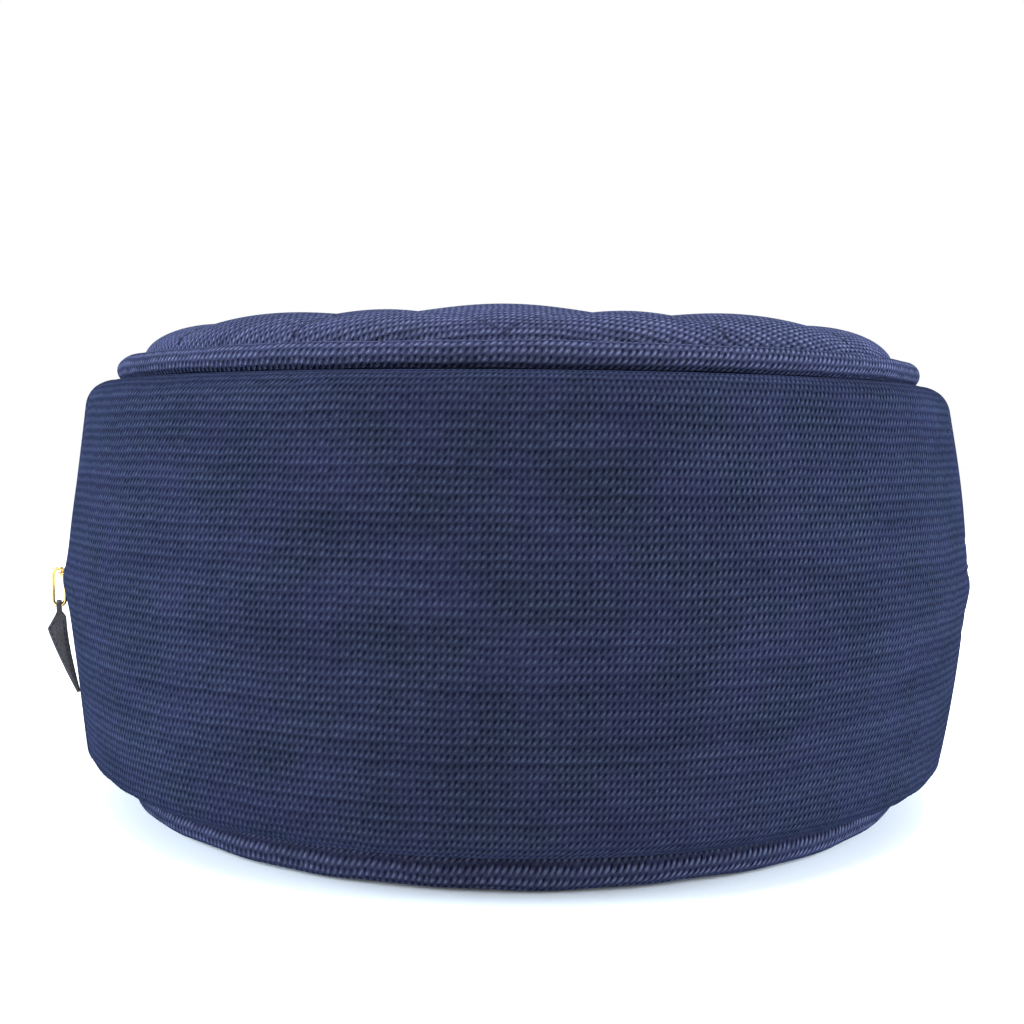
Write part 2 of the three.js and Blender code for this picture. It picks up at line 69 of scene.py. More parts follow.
# %% Seams, ridge, welts and faces
SEAM_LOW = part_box("band_knit")[0].z
SEAM_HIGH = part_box("band_knit")[1].z
MID = (SEAM_LOW + SEAM_HIGH) / 2
HALF_BAND = (SEAM_HIGH - SEAM_LOW) / 2
GIRTH = -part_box("band_knit")[0].y
FRONT_END = math.asin(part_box("band_knit")[1].x / GIRTH)

KNIT = 1.2 * MM
SHOULDER_INSET = 7.5 * MM
SHOULDER_RISE = 9 * MM
WELT_RADIUS = 5 * MM
WELT_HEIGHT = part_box("top_welt_cover")[1].z - SEAM_HIGH - WELT_RADIUS
WELT_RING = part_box("top_welt_cover")[1].x - WELT_RADIUS * math.cos(math.radians(30))
FACE_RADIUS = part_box("top_face_knit")[1].x
BASE_TUCK = FACE_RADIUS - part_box("base_face_knit")[1].x
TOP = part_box("top_face_knit")[1].z
print("ridge radius", round(GIRTH / MM, 1), "welt ring", round(WELT_RING / MM, 1))
print("base seam tucked in by", round(BASE_TUCK / MM, 1))
print("front panel ends at", round(math.degrees(FRONT_END), 1), "degrees; top at", round(TOP / MM, 1))

# %% [markdown]
# ## Camera
# The camera stands in front, a little above the cushion's middle, and looks very slightly down.
# It stands close for a cushion this wide, which is why the band's lower seam bows down so much.
# A camera could be aimed by a constraint, but a plain rotation is easier to read and to trust.

# %% Camera
CAMERA_PLACE = Vector((-1.9, -570, 141.2)) * MM
CAMERA_PITCH = math.radians(2.95)
CAMERA_ROLL = 0.0086
camera_data = bpy.data.cameras.new("front_camera")
camera_data.lens = 47.69
camera_data.sensor_width = 36
camera_data.clip_start = 0.01
camera = bpy.data.objects.new("front_camera", camera_data)
bpy.context.scene.collection.objects.link(camera)
turn = Matrix.Rotation(math.pi / 2 - CAMERA_PITCH, 4, "X") @ Matrix.Rotation(CAMERA_ROLL, 4, "Z")
camera.matrix_world = Matrix.Translation(CAMERA_PLACE) @ turn
bpy.context.scene.camera = camera
bpy.context.scene.view_settings.view_transform = "Standard"
print("camera at", [round(c, 3) for c in CAMERA_PLACE])

# %% [markdown]
# ## Small helpers for working by hand
# Blender's operators act on whatever is selected and active, so each step starts by clearing
# the selection and picking one object. These helpers keep that habit in one place.

# %% Picking, applying and colour helpers
def clear_selection():
    if bpy.context.object and bpy.context.object.mode != "OBJECT":
        bpy.ops.object.mode_set(mode="OBJECT")
    bpy.ops.object.select_all(action="DESELECT")


def pick(obj):
    clear_selection()
    obj.select_set(True)
    bpy.context.view_layer.objects.active = obj


def points_of(obj):
    flat = np.zeros(len(obj.data.vertices) * 3)
    obj.data.vertices.foreach_get("co", flat)
    return flat.reshape(-1, 3)


def put_points(obj, places):
    obj.data.vertices.foreach_set("co", np.asarray(places, float).ravel())
    obj.data.update()


def select_points(obj, wanted):
    """Only the vertices where wanted is true are selected, ready for an edit mode operator."""
    pick(obj)
    bpy.ops.object.mode_set(mode="EDIT")
    bpy.ops.mesh.select_mode(type="VERT")
    bpy.ops.mesh.select_all(action="DESELECT")
    bpy.ops.object.mode_set(mode="OBJECT")
    obj.data.vertices.foreach_set("select", np.asarray(wanted, bool))
    bpy.ops.object.mode_set(mode="EDIT")


def apply_modifier(obj, kind, **settings):
    pick(obj)
    bpy.ops.object.modifier_add(type=kind)
    modifier = obj.modifiers[-1]
    for setting, value in settings.items():
        setattr(modifier, setting, value)
    bpy.ops.object.modifier_apply(modifier=modifier.name)


def close_up(obj, distance=0.02 * MM):
    """Merges vertices that meet and turns the faces outwards."""
    select_points(obj, np.ones(len(obj.data.vertices), bool))
    bpy.ops.mesh.remove_doubles(threshold=distance)
    bpy.ops.mesh.select_all(action="SELECT")
    bpy.ops.mesh.normals_make_consistent(inside=False)
    bpy.ops.object.mode_set(mode="OBJECT")


def smooth(obj, sharp=50):
    pick(obj)
    bpy.ops.object.shade_smooth_by_angle(angle=math.radians(sharp))


def colour(red, green, blue):
    """A colour chosen on a 0 to 255 scale, as a linear colour with alpha."""
    def linear(share):
        return share / 12.92 if share <= 0.04045 else ((share + 0.055) / 1.055) ** 2.4
    return (*[linear(part / 255) for part in (red, green, blue)], 1)


def finished(obj, body, slot, finish, *nodes):
    """Hands a finished piece over: its finish, the body it moves with and what it stands for."""
    obj.data.materials.clear()
    obj.data.materials.append(finish)
    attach(obj, body)
    if nodes:
        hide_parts(*nodes)
    triangles = sum(len(face.vertices) - 2 for face in obj.data.polygons)
    print(obj.name, "-", triangles, "triangles")


# %% [markdown]
# ## Building a finish from nodes
# A finish is a chain of small sums on a position: where am I on the cloth, how far is the next
# stitch, how deep am I between the yarns? Written out node by node that is long, so this class
# gives each kind of node a short call, and leaves the recipe itself readable.

# %% A maker for finishes
class Finish:
    def __init__(self, name, roughness, metallic=0.0):
        self.material = bpy.data.materials.new(name)
        self.material.use_nodes = True
        self.tree = self.material.node_tree
        self.shader = self.tree.nodes["Principled BSDF"]
        self.set("Roughness", roughness)
        self.set("Metallic", metallic)

    def set(self, socket, value):
        """A constant goes straight on the shader's socket; a node's output is linked to it."""
        if isinstance(value, bpy.types.NodeSocket):
            self.tree.links.new(value, self.shader.inputs[socket])
        else:
            self.shader.inputs[socket].default_value = value

    def node(self, kind, inputs, **settings):
        made = self.tree.nodes.new(kind)
        for setting, value in settings.items():
            setattr(made, setting, value)
        for socket, value in inputs.items():
            if isinstance(value, bpy.types.NodeSocket):
                self.tree.links.new(value, made.inputs[socket])
            else:
                made.inputs[socket].default_value = value
        return made

    def math(self, operation, *values):
        """One sum on numbers, such as SINE or ARCTAN2."""
        inputs = dict(enumerate(values))
        return self.node("ShaderNodeMath", inputs, operation=operation).outputs[0]

    def total(self, first, *others):
        for other in others:
            first = self.math("ADD", first, other)
        return first

    def times(self, first, *others):
        for other in others:
            first = self.math("MULTIPLY", first, other)
        return first

    def range(self, value, low, high, to_low=0.0, to_high=1.0):
        """Carries low to high softly over to_low to to_high, and stops at both ends."""
        inputs = {"Value": value, "From Min": low, "From Max": high, "To Min": to_low, "To Max": to_high}
        return self.node("ShaderNodeMapRange", inputs, interpolation_type="SMOOTHSTEP").outputs["Result"]

    def cloth(self):
        """Where the point is on the flat cloth, in millimetres."""
        return self.node("ShaderNodeUVMap", {}, uv_map="cloth").outputs["UV"]

    def place(self):
        """Where the point is in the part, in millimetres."""
        where = self.node("ShaderNodeTexCoord", {}).outputs["Object"]
        inputs = {0: where, 1: (1 / MM,) * 3}
        return self.node("ShaderNodeVectorMath", inputs, operation="MULTIPLY").outputs[0]

    def split(self, vector):
        return self.node("ShaderNodeSeparateXYZ", {"Vector": vector}).outputs

    def join(self, x, y, z=0.0):
        return self.node("ShaderNodeCombineXYZ", {"X": x, "Y": y, "Z": z}).outputs["Vector"]

    def noise(self, vector, scale, detail=2.0, roughness=0.5):
        inputs = {"Vector": vector, "Scale": scale, "Detail": detail, "Roughness": roughness}
        return self.node("ShaderNodeTexNoise", inputs).outputs["Fac"]

    def cells(self, vector, scale, feature="F1"):
        inputs = {"Vector": vector, "Scale": scale}
        return self.node("ShaderNodeTexVoronoi", inputs, feature=feature).outputs["Distance"]

    def chance(self, x, y):
        """A number from 0 to 1 that is the same all over one stitch."""
        return self.node("ShaderNodeTexWhiteNoise", {"Vector": self.join(x, y)}).outputs["Value"]

    def mix(self, share, first, second):
        """Two colours mixed: a share of 0 gives the first one, 1 the second."""
        inputs = {0: share, 6: first, 7: second}
        return self.node("ShaderNodeMix", inputs, data_type="RGBA").outputs[2]

    def shade(self, tint, amount):
        """The tint made lighter or darker by a number; 1 leaves it as it is."""
        start = tint[:3] if isinstance(tint, tuple) else tint
        inputs = {0: start, 1: self.join(amount, amount, amount)}
        return self.node("ShaderNodeVectorMath", inputs, operation="MULTIPLY").outputs[0]

    def relief(self, height, depth):
        """Small bumps: a height of 1 stands out by the depth."""
        inputs = {"Height": height, "Distance": depth, "Strength": 1.0}
        self.set("Normal", self.node("ShaderNodeBump", inputs).outputs["Normal"])


# %% [markdown]
# ## The knit
# The cover is a coarse plain knit in navy wool. Seen close, each stitch leaves a small dark slit
# that leans to the right, and the yarn stands up as a pale crest below and beside it. The slits
# sit in a square grid: wales run up the cloth, courses run round it.
# It could be modelled in loops of real yarn, but a cushion has some sixty thousand of them. So a
# pattern on the flat cloth is used: the position inside one stitch gives the distance to the
# slit and to the crest, and both drive colour, relief and roughness. In the colour the slits get
# a painted shade, the shadow between the yarns, and the crests a painted highlight. Slow noise
# bends the courses, and chance makes each stitch a little different, as in real knitting.

# %% Knitted finishes
WALE = 1.97
COURSE = 2.72
SLIT_LEAN = math.radians(42)
MARK_WIDTH = 0.44
SLIT_LENGTH = 1.4
CREST_LENGTH = 1.15
CREST_SHIFT = (0.5, 0.22)
# SEAM_SHADE is how dark the painted shade at the seams gets, and SEAM_SHADE_REACH how far it spreads, in
# millimetres.
SEAM_SHADE = 0.9
SEAM_SHADE_REACH = 2.6


def knit(name, gap_shade_tint, yarn_tint, crest_highlight_tint, size=1.0):
    """Knit with stitches of WALE by COURSE millimetres times size."""
    f = Finish(name, roughness=0.9)
    across, up, _ = f.split(f.cloth())
    flat = f.join(across, up)
    bend = f.math("SUBTRACT", f.noise(flat, 0.03, 2.0), 0.5)
    jitter = f.math("SUBTRACT", f.noise(flat, 0.35, 1.0), 0.5)
    wale = f.math("DIVIDE", f.total(across, f.times(bend, 3.0), f.times(jitter, 0.5)), WALE * size)
    course = f.math("DIVIDE", f.total(up, f.times(bend, 2.0), f.times(jitter, 0.6)), COURSE * size)
    chance = f.chance(f.math("FLOOR", wale), f.math("FLOOR", course))
    wander = f.chance(f.math("FLOOR", course), f.math("FLOOR", wale))

    def mark(wale_shift, course_shift, length):
        """1 inside a leaning ellipse that repeats with the stitches, falling to 0 round it."""
        x = f.math("FRACT", f.math("ADD", wale, wale_shift))
        y = f.math("FRACT", f.math("ADD", course, course_shift))
        x = f.times(f.math("SUBTRACT", x, f.range(chance, 0.0, 1.0, 0.46, 0.54)), WALE)
        y = f.times(f.math("SUBTRACT", y, f.range(wander, 0.0, 1.0, 0.43, 0.57)), COURSE)
        across_lean, up_lean = math.sin(SLIT_LEAN), math.cos(SLIT_LEAN)
        along = f.total(f.times(x, across_lean / length), f.times(y, up_lean / length))
        aside_x = f.times(x, up_lean / MARK_WIDTH)
        aside_y = f.times(y, across_lean / MARK_WIDTH)
        aside = f.math("SUBTRACT", aside_x, aside_y)
        away = f.math("SQRT", f.total(f.times(along, along), f.times(aside, aside)))
        return f.range(away, 1.45, 0.25)

    slit = f.times(mark(0.0, 0.0, SLIT_LENGTH), f.range(chance, 0.0, 1.0, 0.72, 1.0))
    crest = f.times(mark(*CREST_SHIFT, CREST_LENGTH), f.range(wander, 0.0, 1.0, 0.45, 1.0))

    # Slow changes: mottled dye, courses that took it unevenly, and fuzz on the yarn.
    mottle = f.range(f.noise(f.join(f.times(across, 0.4), up), 0.05, 3.0), 0.3, 0.7, 0.9, 1.1)
    band = f.join(f.times(across, 0.006), f.math("FLOOR", course))
    streak = f.range(f.noise(band, 0.9, 2.0), 0.3, 0.7, 0.88, 1.12)
    fuzz = f.range(f.noise(flat, 2.6, 2.0), 0.3, 0.7, 0.84, 1.16)
    hue = f.range(f.noise(flat, 0.04, 2.0), 0.35, 0.65)

    # Painted shade: the cloth is darkened in a narrow band at both seams, where the welt presses on the
    # band and the groove lies in shadow.
    height = f.split(f.place())[2]
    from_mid = f.math("ABSOLUTE", f.math("SUBTRACT", height, MID / MM))
    from_seam = f.math("ABSOLUTE", f.math("SUBTRACT", from_mid, HALF_BAND / MM + 0.4))
    seam = f.range(from_seam, SEAM_SHADE_REACH, 0.5, 1.0, SEAM_SHADE)

    # Painted shade in the slits and a painted highlight on the crests: the gap tint stands for the shadow
    # between the yarns, the crest tint for light on their tops.
    tint = f.mix(slit, yarn_tint, gap_shade_tint)
    tint = f.mix(crest, tint, crest_highlight_tint)
    tint = f.mix(f.times(hue, 0.15), tint, f.mix(0.5, tint, colour(52, 42, 88)))
    f.set("Base Color", f.shade(tint, f.times(mottle, streak, fuzz, seam)))
    f.set("Roughness", f.range(slit, 0.0, 1.0, 0.85, 1.0))
    f.relief(f.total(f.times(crest, 0.6), f.times(slit, -1.0), f.times(fuzz, 0.25)), 0.5 * MM)
    f.set("Specular IOR Level", 0.0)
    f.set("Sheen Weight", 0.05)
    f.set("Sheen Roughness", 0.5)
    f.set("Sheen Tint", colour(110, 140, 215))
    return f.material


# Lit and shaded copies of the one navy knit: the band's tints carry painted shade, the quilted faces' are
# painted lighter as if lit from above, and the welts' lie in between. The welts' stitches are also a little
# larger.
SHADED_BAND_KNIT = knit("band_knit_painted_shade", colour(8, 9, 21), colour(28, 32, 46), colour(49, 55, 73))
LIT_FACE_KNIT = knit("quilted_knit_painted_light", colour(17, 18, 34), colour(44, 47, 67), colour(92, 96, 123))
HALF_LIT_WELT_KNIT = knit(
    "welt_knit_painted_half_light", colour(12, 13, 28), colour(40, 43, 61), colour(84, 88, 113), size=1.12)
print("knit stitch", WALE, "x", COURSE, "mm")

# %% [markdown]
# ## The other finishes
# Each one is a recipe at its own real scale: the zip tape is a fine twill, the sewing thread is
# twisted, the leather has a pebbled grain with paler worn patches, and the gold plating is nearly
# smooth, with hairline scratches and a faint haze of handling.

# %% Zip tape, thread, metal and leather
def twill(name, hollow_shade_tint, high_tint, pitch):
    """Diagonal ribs of a tightly woven tape, read in the part's own space."""
    f = Finish(name, roughness=0.85)
    x, y, z = f.split(f.place())
    round_about = f.times(f.math("ARCTAN2", x, f.times(y, -1.0)), GIRTH / MM)
    rib = f.math("FRACT", f.times(f.total(round_about, z), 1 / pitch))
    rib = f.math("SINE", f.times(rib, math.pi))
    fleck = f.range(f.noise(f.place(), 1.7, 3.0), 0.3, 0.7, 0.85, 1.15)
    # Painted shade: the grooves between the ribs take the darker hollow tint.
    f.set("Base Color", f.shade(f.mix(rib, hollow_shade_tint, high_tint), fleck))
    f.relief(f.total(rib, f.times(fleck, 0.4)), 0.15 * MM)
    f.set("Sheen Weight", 0.1)
    return f.material


def twisted_thread(name, tint, twist):
    """Plies wound round each other, one turn in every twist millimetres."""
    f = Finish(name, roughness=0.8)
    x, y, z = f.split(f.place())
    ply = f.math("SINE", f.times(f.total(x, y, z), 2 * math.pi / twist))
    ply = f.range(ply, -1.0, 1.0)
    # Painted shade between the plies and a painted highlight on their tops.
    f.set("Base Color", f.shade(tint, f.range(ply, 0.0, 1.0, 0.7, 1.2)))
    f.relief(ply, 0.08 * MM)
    f.set("Specular IOR Level", 0.1)
    return f.material


def plated_gold(name):
    """Polished plating with a faint haze and hairline scratches."""
    f = Finish(name, roughness=0.2, metallic=1.0)
    here = f.place()
    x, y, z = f.split(here)
    haze = f.range(f.noise(here, 0.5, 4.0), 0.3, 0.7)
    scratch = f.noise(f.join(f.times(x, 0.35), f.times(y, 0.35), f.times(z, 6.0)), 1.6, 4.0, 0.7)
    scratch = f.range(scratch, 0.55, 0.62)
    f.set("Base Color", f.mix(haze, colour(226, 190, 118), colour(240, 212, 150)))
    f.set("Roughness", f.total(f.range(haze, 0.0, 1.0, 0.14, 0.27), f.times(scratch, 0.1)))
    f.relief(f.total(f.times(scratch, -0.4), f.times(haze, 0.3)), 0.02 * MM)
    return f.material


def grained_leather(name, hollow_shade_tint, high_tint, grain):
    """Pebbles of leather with creases between them, paler where it is worn."""
    f = Finish(name, roughness=0.5)
    here = f.place()
    pebble = f.cells(here, grain)
    crease = f.range(f.cells(here, grain, "DISTANCE_TO_EDGE"), 0.0, 0.16)
    wear = f.range(f.noise(here, 0.16, 3.0), 0.4, 0.75)
    # Painted shade: the creases between the pebbles take the darker hollow tint; the paler wear is the
    # leather's own tone.
    tint = f.mix(crease, hollow_shade_tint, high_tint)
    f.set("Base Color", f.shade(tint, f.range(wear, 0.0, 1.0, 0.85, 1.35)))
    f.set("Roughness", f.range(crease, 0.0, 1.0, 0.65, 0.42))
    f.relief(f.total(crease, f.times(pebble, -0.5)), 0.12 * MM)
    return f.material


TAPE = twill("zip_tape_cloth", colour(18, 22, 38), colour(38, 44, 68), pitch=0.9)
THREAD = twisted_thread("navy_thread", colour(34, 38, 60), twist=0.6)
GOLD = plated_gold("plated_gold")
LEATHER = grained_leather("black_leather", colour(16, 15, 18), colour(50, 47, 52), grain=1.5)
print("finishes:", TAPE.name, THREAD.name, GOLD.name, LEATHER.name)

# %% [markdown]
# ## Cloths inside the cover
# The layers inside are hidden while the zip is closed, but a cut or an open zip would show them,
# so they get true finishes too: woven lining, calico, fluffy wadding and open foam. One plain
# colour each would do from outside. These are read in the part's own space, because the inner
# layers are kept as solids and have no map of flat cloth.

# %% Cloths inside the cover
def plain_weave(name, hollow_shade_tint, high_tint, pitch):
    """Warp that runs round the cushion, crossed by weft."""
    f = Finish(name, roughness=0.9)
    x, y, z = f.split(f.place())
    round_about = f.times(f.math("ARCTAN2", x, f.times(y, -1.0)), FACE_RADIUS / MM)
    warp = f.math("SINE", f.times(round_about, math.pi / pitch))
    from_axis = f.math("SQRT", f.total(f.times(x, x), f.times(y, y)))
    weft = f.math("SINE", f.times(f.total(z, from_axis), math.pi / pitch))
    cross = f.range(f.times(warp, weft), -1.0, 1.0)
    slub = f.range(f.noise(f.place(), 0.4, 3.0), 0.3, 0.7, 0.9, 1.08)
    # Painted shade: the hollows of the weave take the darker hollow tint.
    f.set("Base Color", f.shade(f.mix(cross, hollow_shade_tint, high_tint), slub))
    f.relief(cross, 0.15 * MM)
    return f.material


def fibre_fill(name, tint):
    """Long loose fibres with soft tufts."""
    f = Finish(name, roughness=1.0)
    here = f.place()
    x, y, z = f.split(here)
    strand = f.noise(f.join(f.times(x, 0.5), f.times(y, 0.5), f.times(z, 2.2)), 1.3, 5.0, 0.7)
    tuft = f.noise(here, 0.09, 3.0)
    f.set("Base Color", f.shade(tint, f.range(f.total(strand, tuft), 0.6, 1.4, 0.82, 1.06)))
    f.relief(f.total(strand, tuft), 0.8 * MM)
    f.set("Sheen Weight", 0.3)
    return f.material


def open_foam(name, tint):
    """Round pores in foam that has yellowed unevenly."""
    f = Finish(name, roughness=0.95)
    here = f.place()
    pore = f.range(f.cells(here, 0.9), 0.1, 0.6)
    age = f.noise(here, 0.02, 2.0)
    # Painted shade: the pores are darker than the foam round them; the uneven yellowing is the foam's own
    # tone.
    f.set("Base Color", f.shade(tint, f.total(f.times(pore, 0.3), f.range(age, 0.3, 0.7, 0.66, 0.78))))
    f.relief(pore, 0.5 * MM)
    return f.material


LINING = plain_weave("woven_lining", colour(34, 38, 52), colour(58, 63, 80), pitch=0.7)
CALICO = plain_weave("calico_case", colour(205, 195, 172), colour(236, 229, 212), pitch=0.8)
WADDING = fibre_fill("white_wadding", colour(240, 239, 233))
FOAM = open_foam("cushion_foam", colour(240, 232, 205))
print(len(bpy.data.materials), "materials so far")

# %% [markdown]
# ## Cloth is cut flat, then bent
# A knitted panel starts as a flat rectangle. Here it is a grid whose two edges are lists of
# distances, so there can be many rows where the cloth turns and few where it lies flat. The flat
# position is kept as a map named cloth, in millimetres: the stitches then follow the cloth
# wherever it bends, as they do on the real cover.
# A lathe could turn the same shape in one step, but it would know nothing of the flat cloth.

# %% Cutting a flat panel
def cut_panel(name, across, up, grain=1):
    """A grid on the flat cloth, and its flat positions. A grain of -1 lays the cloth upside down."""
    clear_selection()
    bpy.ops.mesh.primitive_grid_add(
        x_subdivisions=len(across) - 1, y_subdivisions=len(up) - 1, size=1, location=(0, 0, 0))
    panel = bpy.context.object
    panel.name = panel.data.name = name
    places = points_of(panel) + 0.5
    x = np.interp(places[:, 0], np.linspace(0, 1, len(across)), across)
    y = np.interp(places[:, 1], np.linspace(0, 1, len(up)), up)
    corners = np.zeros(len(panel.data.loops), int)
    panel.data.loops.foreach_get("vertex_index", corners)
    cloth_map = panel.data.uv_layers[0] if panel.data.uv_layers else panel.data.uv_layers.new()
    cloth_map.name = "cloth"
    cloth_map.data.foreach_set("uv", (np.stack([x, y * grain], 1)[corners] / MM).ravel())
    return panel, x, y


def steps(start, end, step):
    """Distances from start to end, evenly spaced by about one step."""
    return np.linspace(start, end, max(2, round(abs(end - start) / step)) + 1)


def round_the_cushion(angle, radius, height):
    """Points at an angle from the front, a radius and a height, as rows of x, y, z."""
    return np.stack([radius * np.sin(angle), -radius * np.cos(angle), height], 1)


# %% [markdown]
# ## How the band stands
# Half way up, the band is widest. Above and below it leans in, then rolls over a soft shoulder
# into the seam under the welt. At the front the wall is a long even curve; towards the zip it
# comes to a blunt ridge, because the stiff tapes hold it out.
# The curve is a power of the height, and the power falls from the front to the zip. The
# shoulder is an arc that takes over at the slope where the wall ends, so there is no kink.
# Knit is never quite even, so slow waves and small puckers at the seams are added last.

# %% The band's wall
FRONT_POWER = 1.75
ZIP_POWER = 1.2
EVEN_FRONT = math.radians(25)
CHANGE_OVER = math.radians(60)
WALL_END = HALF_BAND - SHOULDER_RISE


def band_wall(angle, up):
    """Radius and height of the band's outside, at an angle and a distance up the cloth from the ridge."""
    towards_zip = np.clip((np.abs(angle) - EVEN_FRONT) / CHANGE_OVER, 0, 1)
    power = FRONT_POWER + (ZIP_POWER - FRONT_POWER) * towards_zip ** 1.5
    reach = np.abs(up)
    share = np.clip(reach / WALL_END, 0, 1)
    slope = np.arctan(SHOULDER_INSET * power / WALL_END)
    roll = SHOULDER_RISE / (1 - np.sin(slope))
    past = np.clip(reach - WALL_END, 0, None)
    turned = np.minimum(slope + past / roll, math.pi / 2)
    inward = np.clip(past - roll * (math.pi / 2 - slope), 0, None)
    tuck = np.where(up < 0, BASE_TUCK, 0)
    radius = GIRTH - SHOULDER_INSET * share ** power
    radius += (roll + tuck) * (np.cos(turned) - np.cos(slope)) - inward
    height = np.minimum(reach, WALL_END) + roll * (np.sin(turned) - np.sin(slope))
    return radius, MID + np.sign(up) * height


def unevenness(angle, up):
    """Slow waves in the cloth, and puckers where it is gathered into the seams."""
    across = angle * GIRTH / MM
    height = up / MM
    waves = 0.35 * np.sin(across / 31 + height / 47) + 0.3 * np.sin(across / 17 - height / 29 + 1.3)
    waves += 0.25 * np.sin(height / 13 + 2.1 * np.sin(across / 60))
    near_seam = np.exp(-np.abs(HALF_BAND / MM - 2 - np.abs(height)) / 6)
    puckers = 0.28 * np.sin(across / 2.9 + 1.7 * np.sin(across / 21)) * near_seam
    return (waves + puckers) * MM


SEAM_TUCK = 10 * MM
BAND_REACH = WALL_END + 2 * SHOULDER_RISE + SEAM_TUCK
FRONT_COLUMN = 2.2 * MM
WALL_ROW = 2.4 * MM
SHOULDER_ROW = 1.2 * MM
front_across = steps(-FRONT_END * GIRTH, FRONT_END * GIRTH, FRONT_COLUMN)
wall_rows = steps(-WALL_END, WALL_END, WALL_ROW)
shoulder_rows = steps(WALL_END, BAND_REACH, SHOULDER_ROW)[1:]
front_rows = np.concatenate([-shoulder_rows[::-1], wall_rows, shoulder_rows])
print("front panel cloth", len(front_across), "x", len(front_rows))

# %% [markdown]
# ## Front panel
# One piece of knit covers the front from side seam to side seam. At its ends it is turned in
# against the zip strips, so it dips into a narrow valley there. The panel is thin, so the grid
# gets its thickness from a Solidify modifier that grows inwards.

# %% Front panel
SIDE_VALLEY = 2.0 * MM
VALLEY_WIDTH = 1.8 * MM
RIDGE_BULGE = 1.4 * MM
BULGE_WIDTH = 8 * MM
BULGE_RUN = 26 * MM
BULGE_PAST_SEAM = math.radians(1.5)


def side_valley(angle):
    """How far the cloth dips at the two side seams."""
    distance = (FRONT_END - np.abs(angle)) * GIRTH
    return SIDE_VALLEY * np.exp(-((distance / VALLEY_WIDTH) ** 2))


def zip_bulge(angle, up):
    """The stacked tapes push the cloth out round the two ends of the zip."""
    distance = (np.abs(angle) - FRONT_END - BULGE_PAST_SEAM) * GIRTH
    return RIDGE_BULGE * np.exp(-((up / BULGE_WIDTH) ** 2) - (distance / BULGE_RUN) ** 2)


front_panel, across, up = cut_panel("front_panel", front_across, front_rows)
angle = across / GIRTH
radius, height = band_wall(angle, up)
radius = radius + unevenness(angle, up) + zip_bulge(angle, up) - side_valley(angle)
put_points(front_panel, round_the_cushion(angle, radius, height))
apply_modifier(front_panel, "SOLIDIFY", thickness=KNIT, offset=-1)
smooth(front_panel)
finished(front_panel, "cushion", "navy_knit", SHADED_BAND_KNIT, "band_knit")

# %% [markdown]
# ## Zip strips
# Two strips run round the back from side seam to side seam, one above the zip and one below.
# The edge along the zip is folded under, so it shows a round, doubled lip. The fold could be a
# separate tube, but bending the same cloth round keeps the stitches running over it.
# The cloth's middle surface is drawn: under the strip, half a turn round the fold, then up the
# outside to the seam. Solidify then thickens it both ways.

# %% Zip strips
ZIP_EDGE = 7 * MM
HEM = 8 * MM
LIP = 14 * MM
FOLD = KNIT / 2
FOLD_LENGTH = math.pi * FOLD
SEAM_GAP = 0.1 * MM
BACK_START = FRONT_END + SEAM_GAP / GIRTH
BACK_COLUMN = 3.2 * MM
HEM_ROW = 2.2 * MM
FOLD_ROW = 0.32 * MM
LIP_ROW = 0.9 * MM
OUTER_ROW = 3 * MM
LIP_STITCHING = 2.6 * MM
TAPE_STITCHING = 10.5 * MM
SINK = 0.45 * MM
LIP_WAVE = 0.25 * MM
LIP_WAVE_LENGTH = 9 * MM
LIP_WAVE_REACH = 12 * MM
back_across = steps(BACK_START * GIRTH, (2 * math.pi - BACK_START) * GIRTH, BACK_COLUMN)
hem_rows = steps(-HEM, -FOLD_LENGTH / 2, HEM_ROW)
fold_rows = steps(-FOLD_LENGTH / 2, FOLD_LENGTH / 2, FOLD_ROW)[1:]
lip_rows = steps(FOLD_LENGTH / 2, LIP, LIP_ROW)[1:]
outer_rows = steps(LIP, WALL_END - ZIP_EDGE, OUTER_ROW)[1:]
strip_rows = np.concatenate([hem_rows, fold_rows, lip_rows, outer_rows, shoulder_rows - ZIP_EDGE])


def strip_surface(angle, up, side):
    """Radius and height of the strip's middle surface, at a distance up the cloth from the fold."""
    from_side = np.minimum(angle, 2 * math.pi - angle)
    fold_turn = np.clip(up / FOLD, -math.pi / 2, math.pi / 2)
    in_fold = np.abs(up) < FOLD_LENGTH / 2
    past_fold = ZIP_EDGE + FOLD + np.abs(up) - FOLD_LENGTH / 2
    on_wall = np.where(in_fold, ZIP_EDGE + FOLD * (1 - np.cos(fold_turn)), past_fold)
    radius, height = band_wall(from_side, side * on_wall)
    radius = radius - FOLD * (2 - np.sin(fold_turn)) + unevenness(angle, side * on_wall)
    radius = radius + zip_bulge(from_side, on_wall) - side_valley(from_side)
    for line in (LIP_STITCHING, TAPE_STITCHING):
        radius = radius - SINK * np.exp(-(((up - line) / MM) ** 2))
    wave = LIP_WAVE * np.sin(angle * GIRTH / LIP_WAVE_LENGTH) * np.exp(-on_wall / LIP_WAVE_REACH)
    return radius, height + side * wave


def strip(name, side, node):
    panel, across, up = cut_panel(name, back_across, strip_rows, grain=side)
    angle = across / GIRTH
    put_points(panel, round_the_cushion(angle, *strip_surface(angle, up, side)))
    apply_modifier(panel, "SOLIDIFY", thickness=KNIT, offset=0)
    close_up(panel)
    smooth(panel)
    finished(panel, "cushion", "navy_knit", SHADED_BAND_KNIT, node)


strip("zip_strip_top", 1, "zip_strip_upper")
strip("zip_strip_bottom", -1, "zip_strip_lower")

# %% [markdown]
# ## End tabs
# A small folded scrap of the same knit covers each end of the zip tapes, so that the side seam
# has no metal in it. It is a short panel whose long edges roll in under the strips' lips.

# %% End tabs of the zip
TAB_REACH = 12 * MM
TAB_HALF = 6.6 * MM
TAB_COLUMN = 0.8 * MM
TAB_ROW = 0.6 * MM
LONG_EDGE_ROLL = 2.2 * MM
LONG_EDGE_WIDTH = 1.5 * MM
FREE_END_ROLL = 1.2 * MM
FREE_END_WIDTH = 1.6 * MM


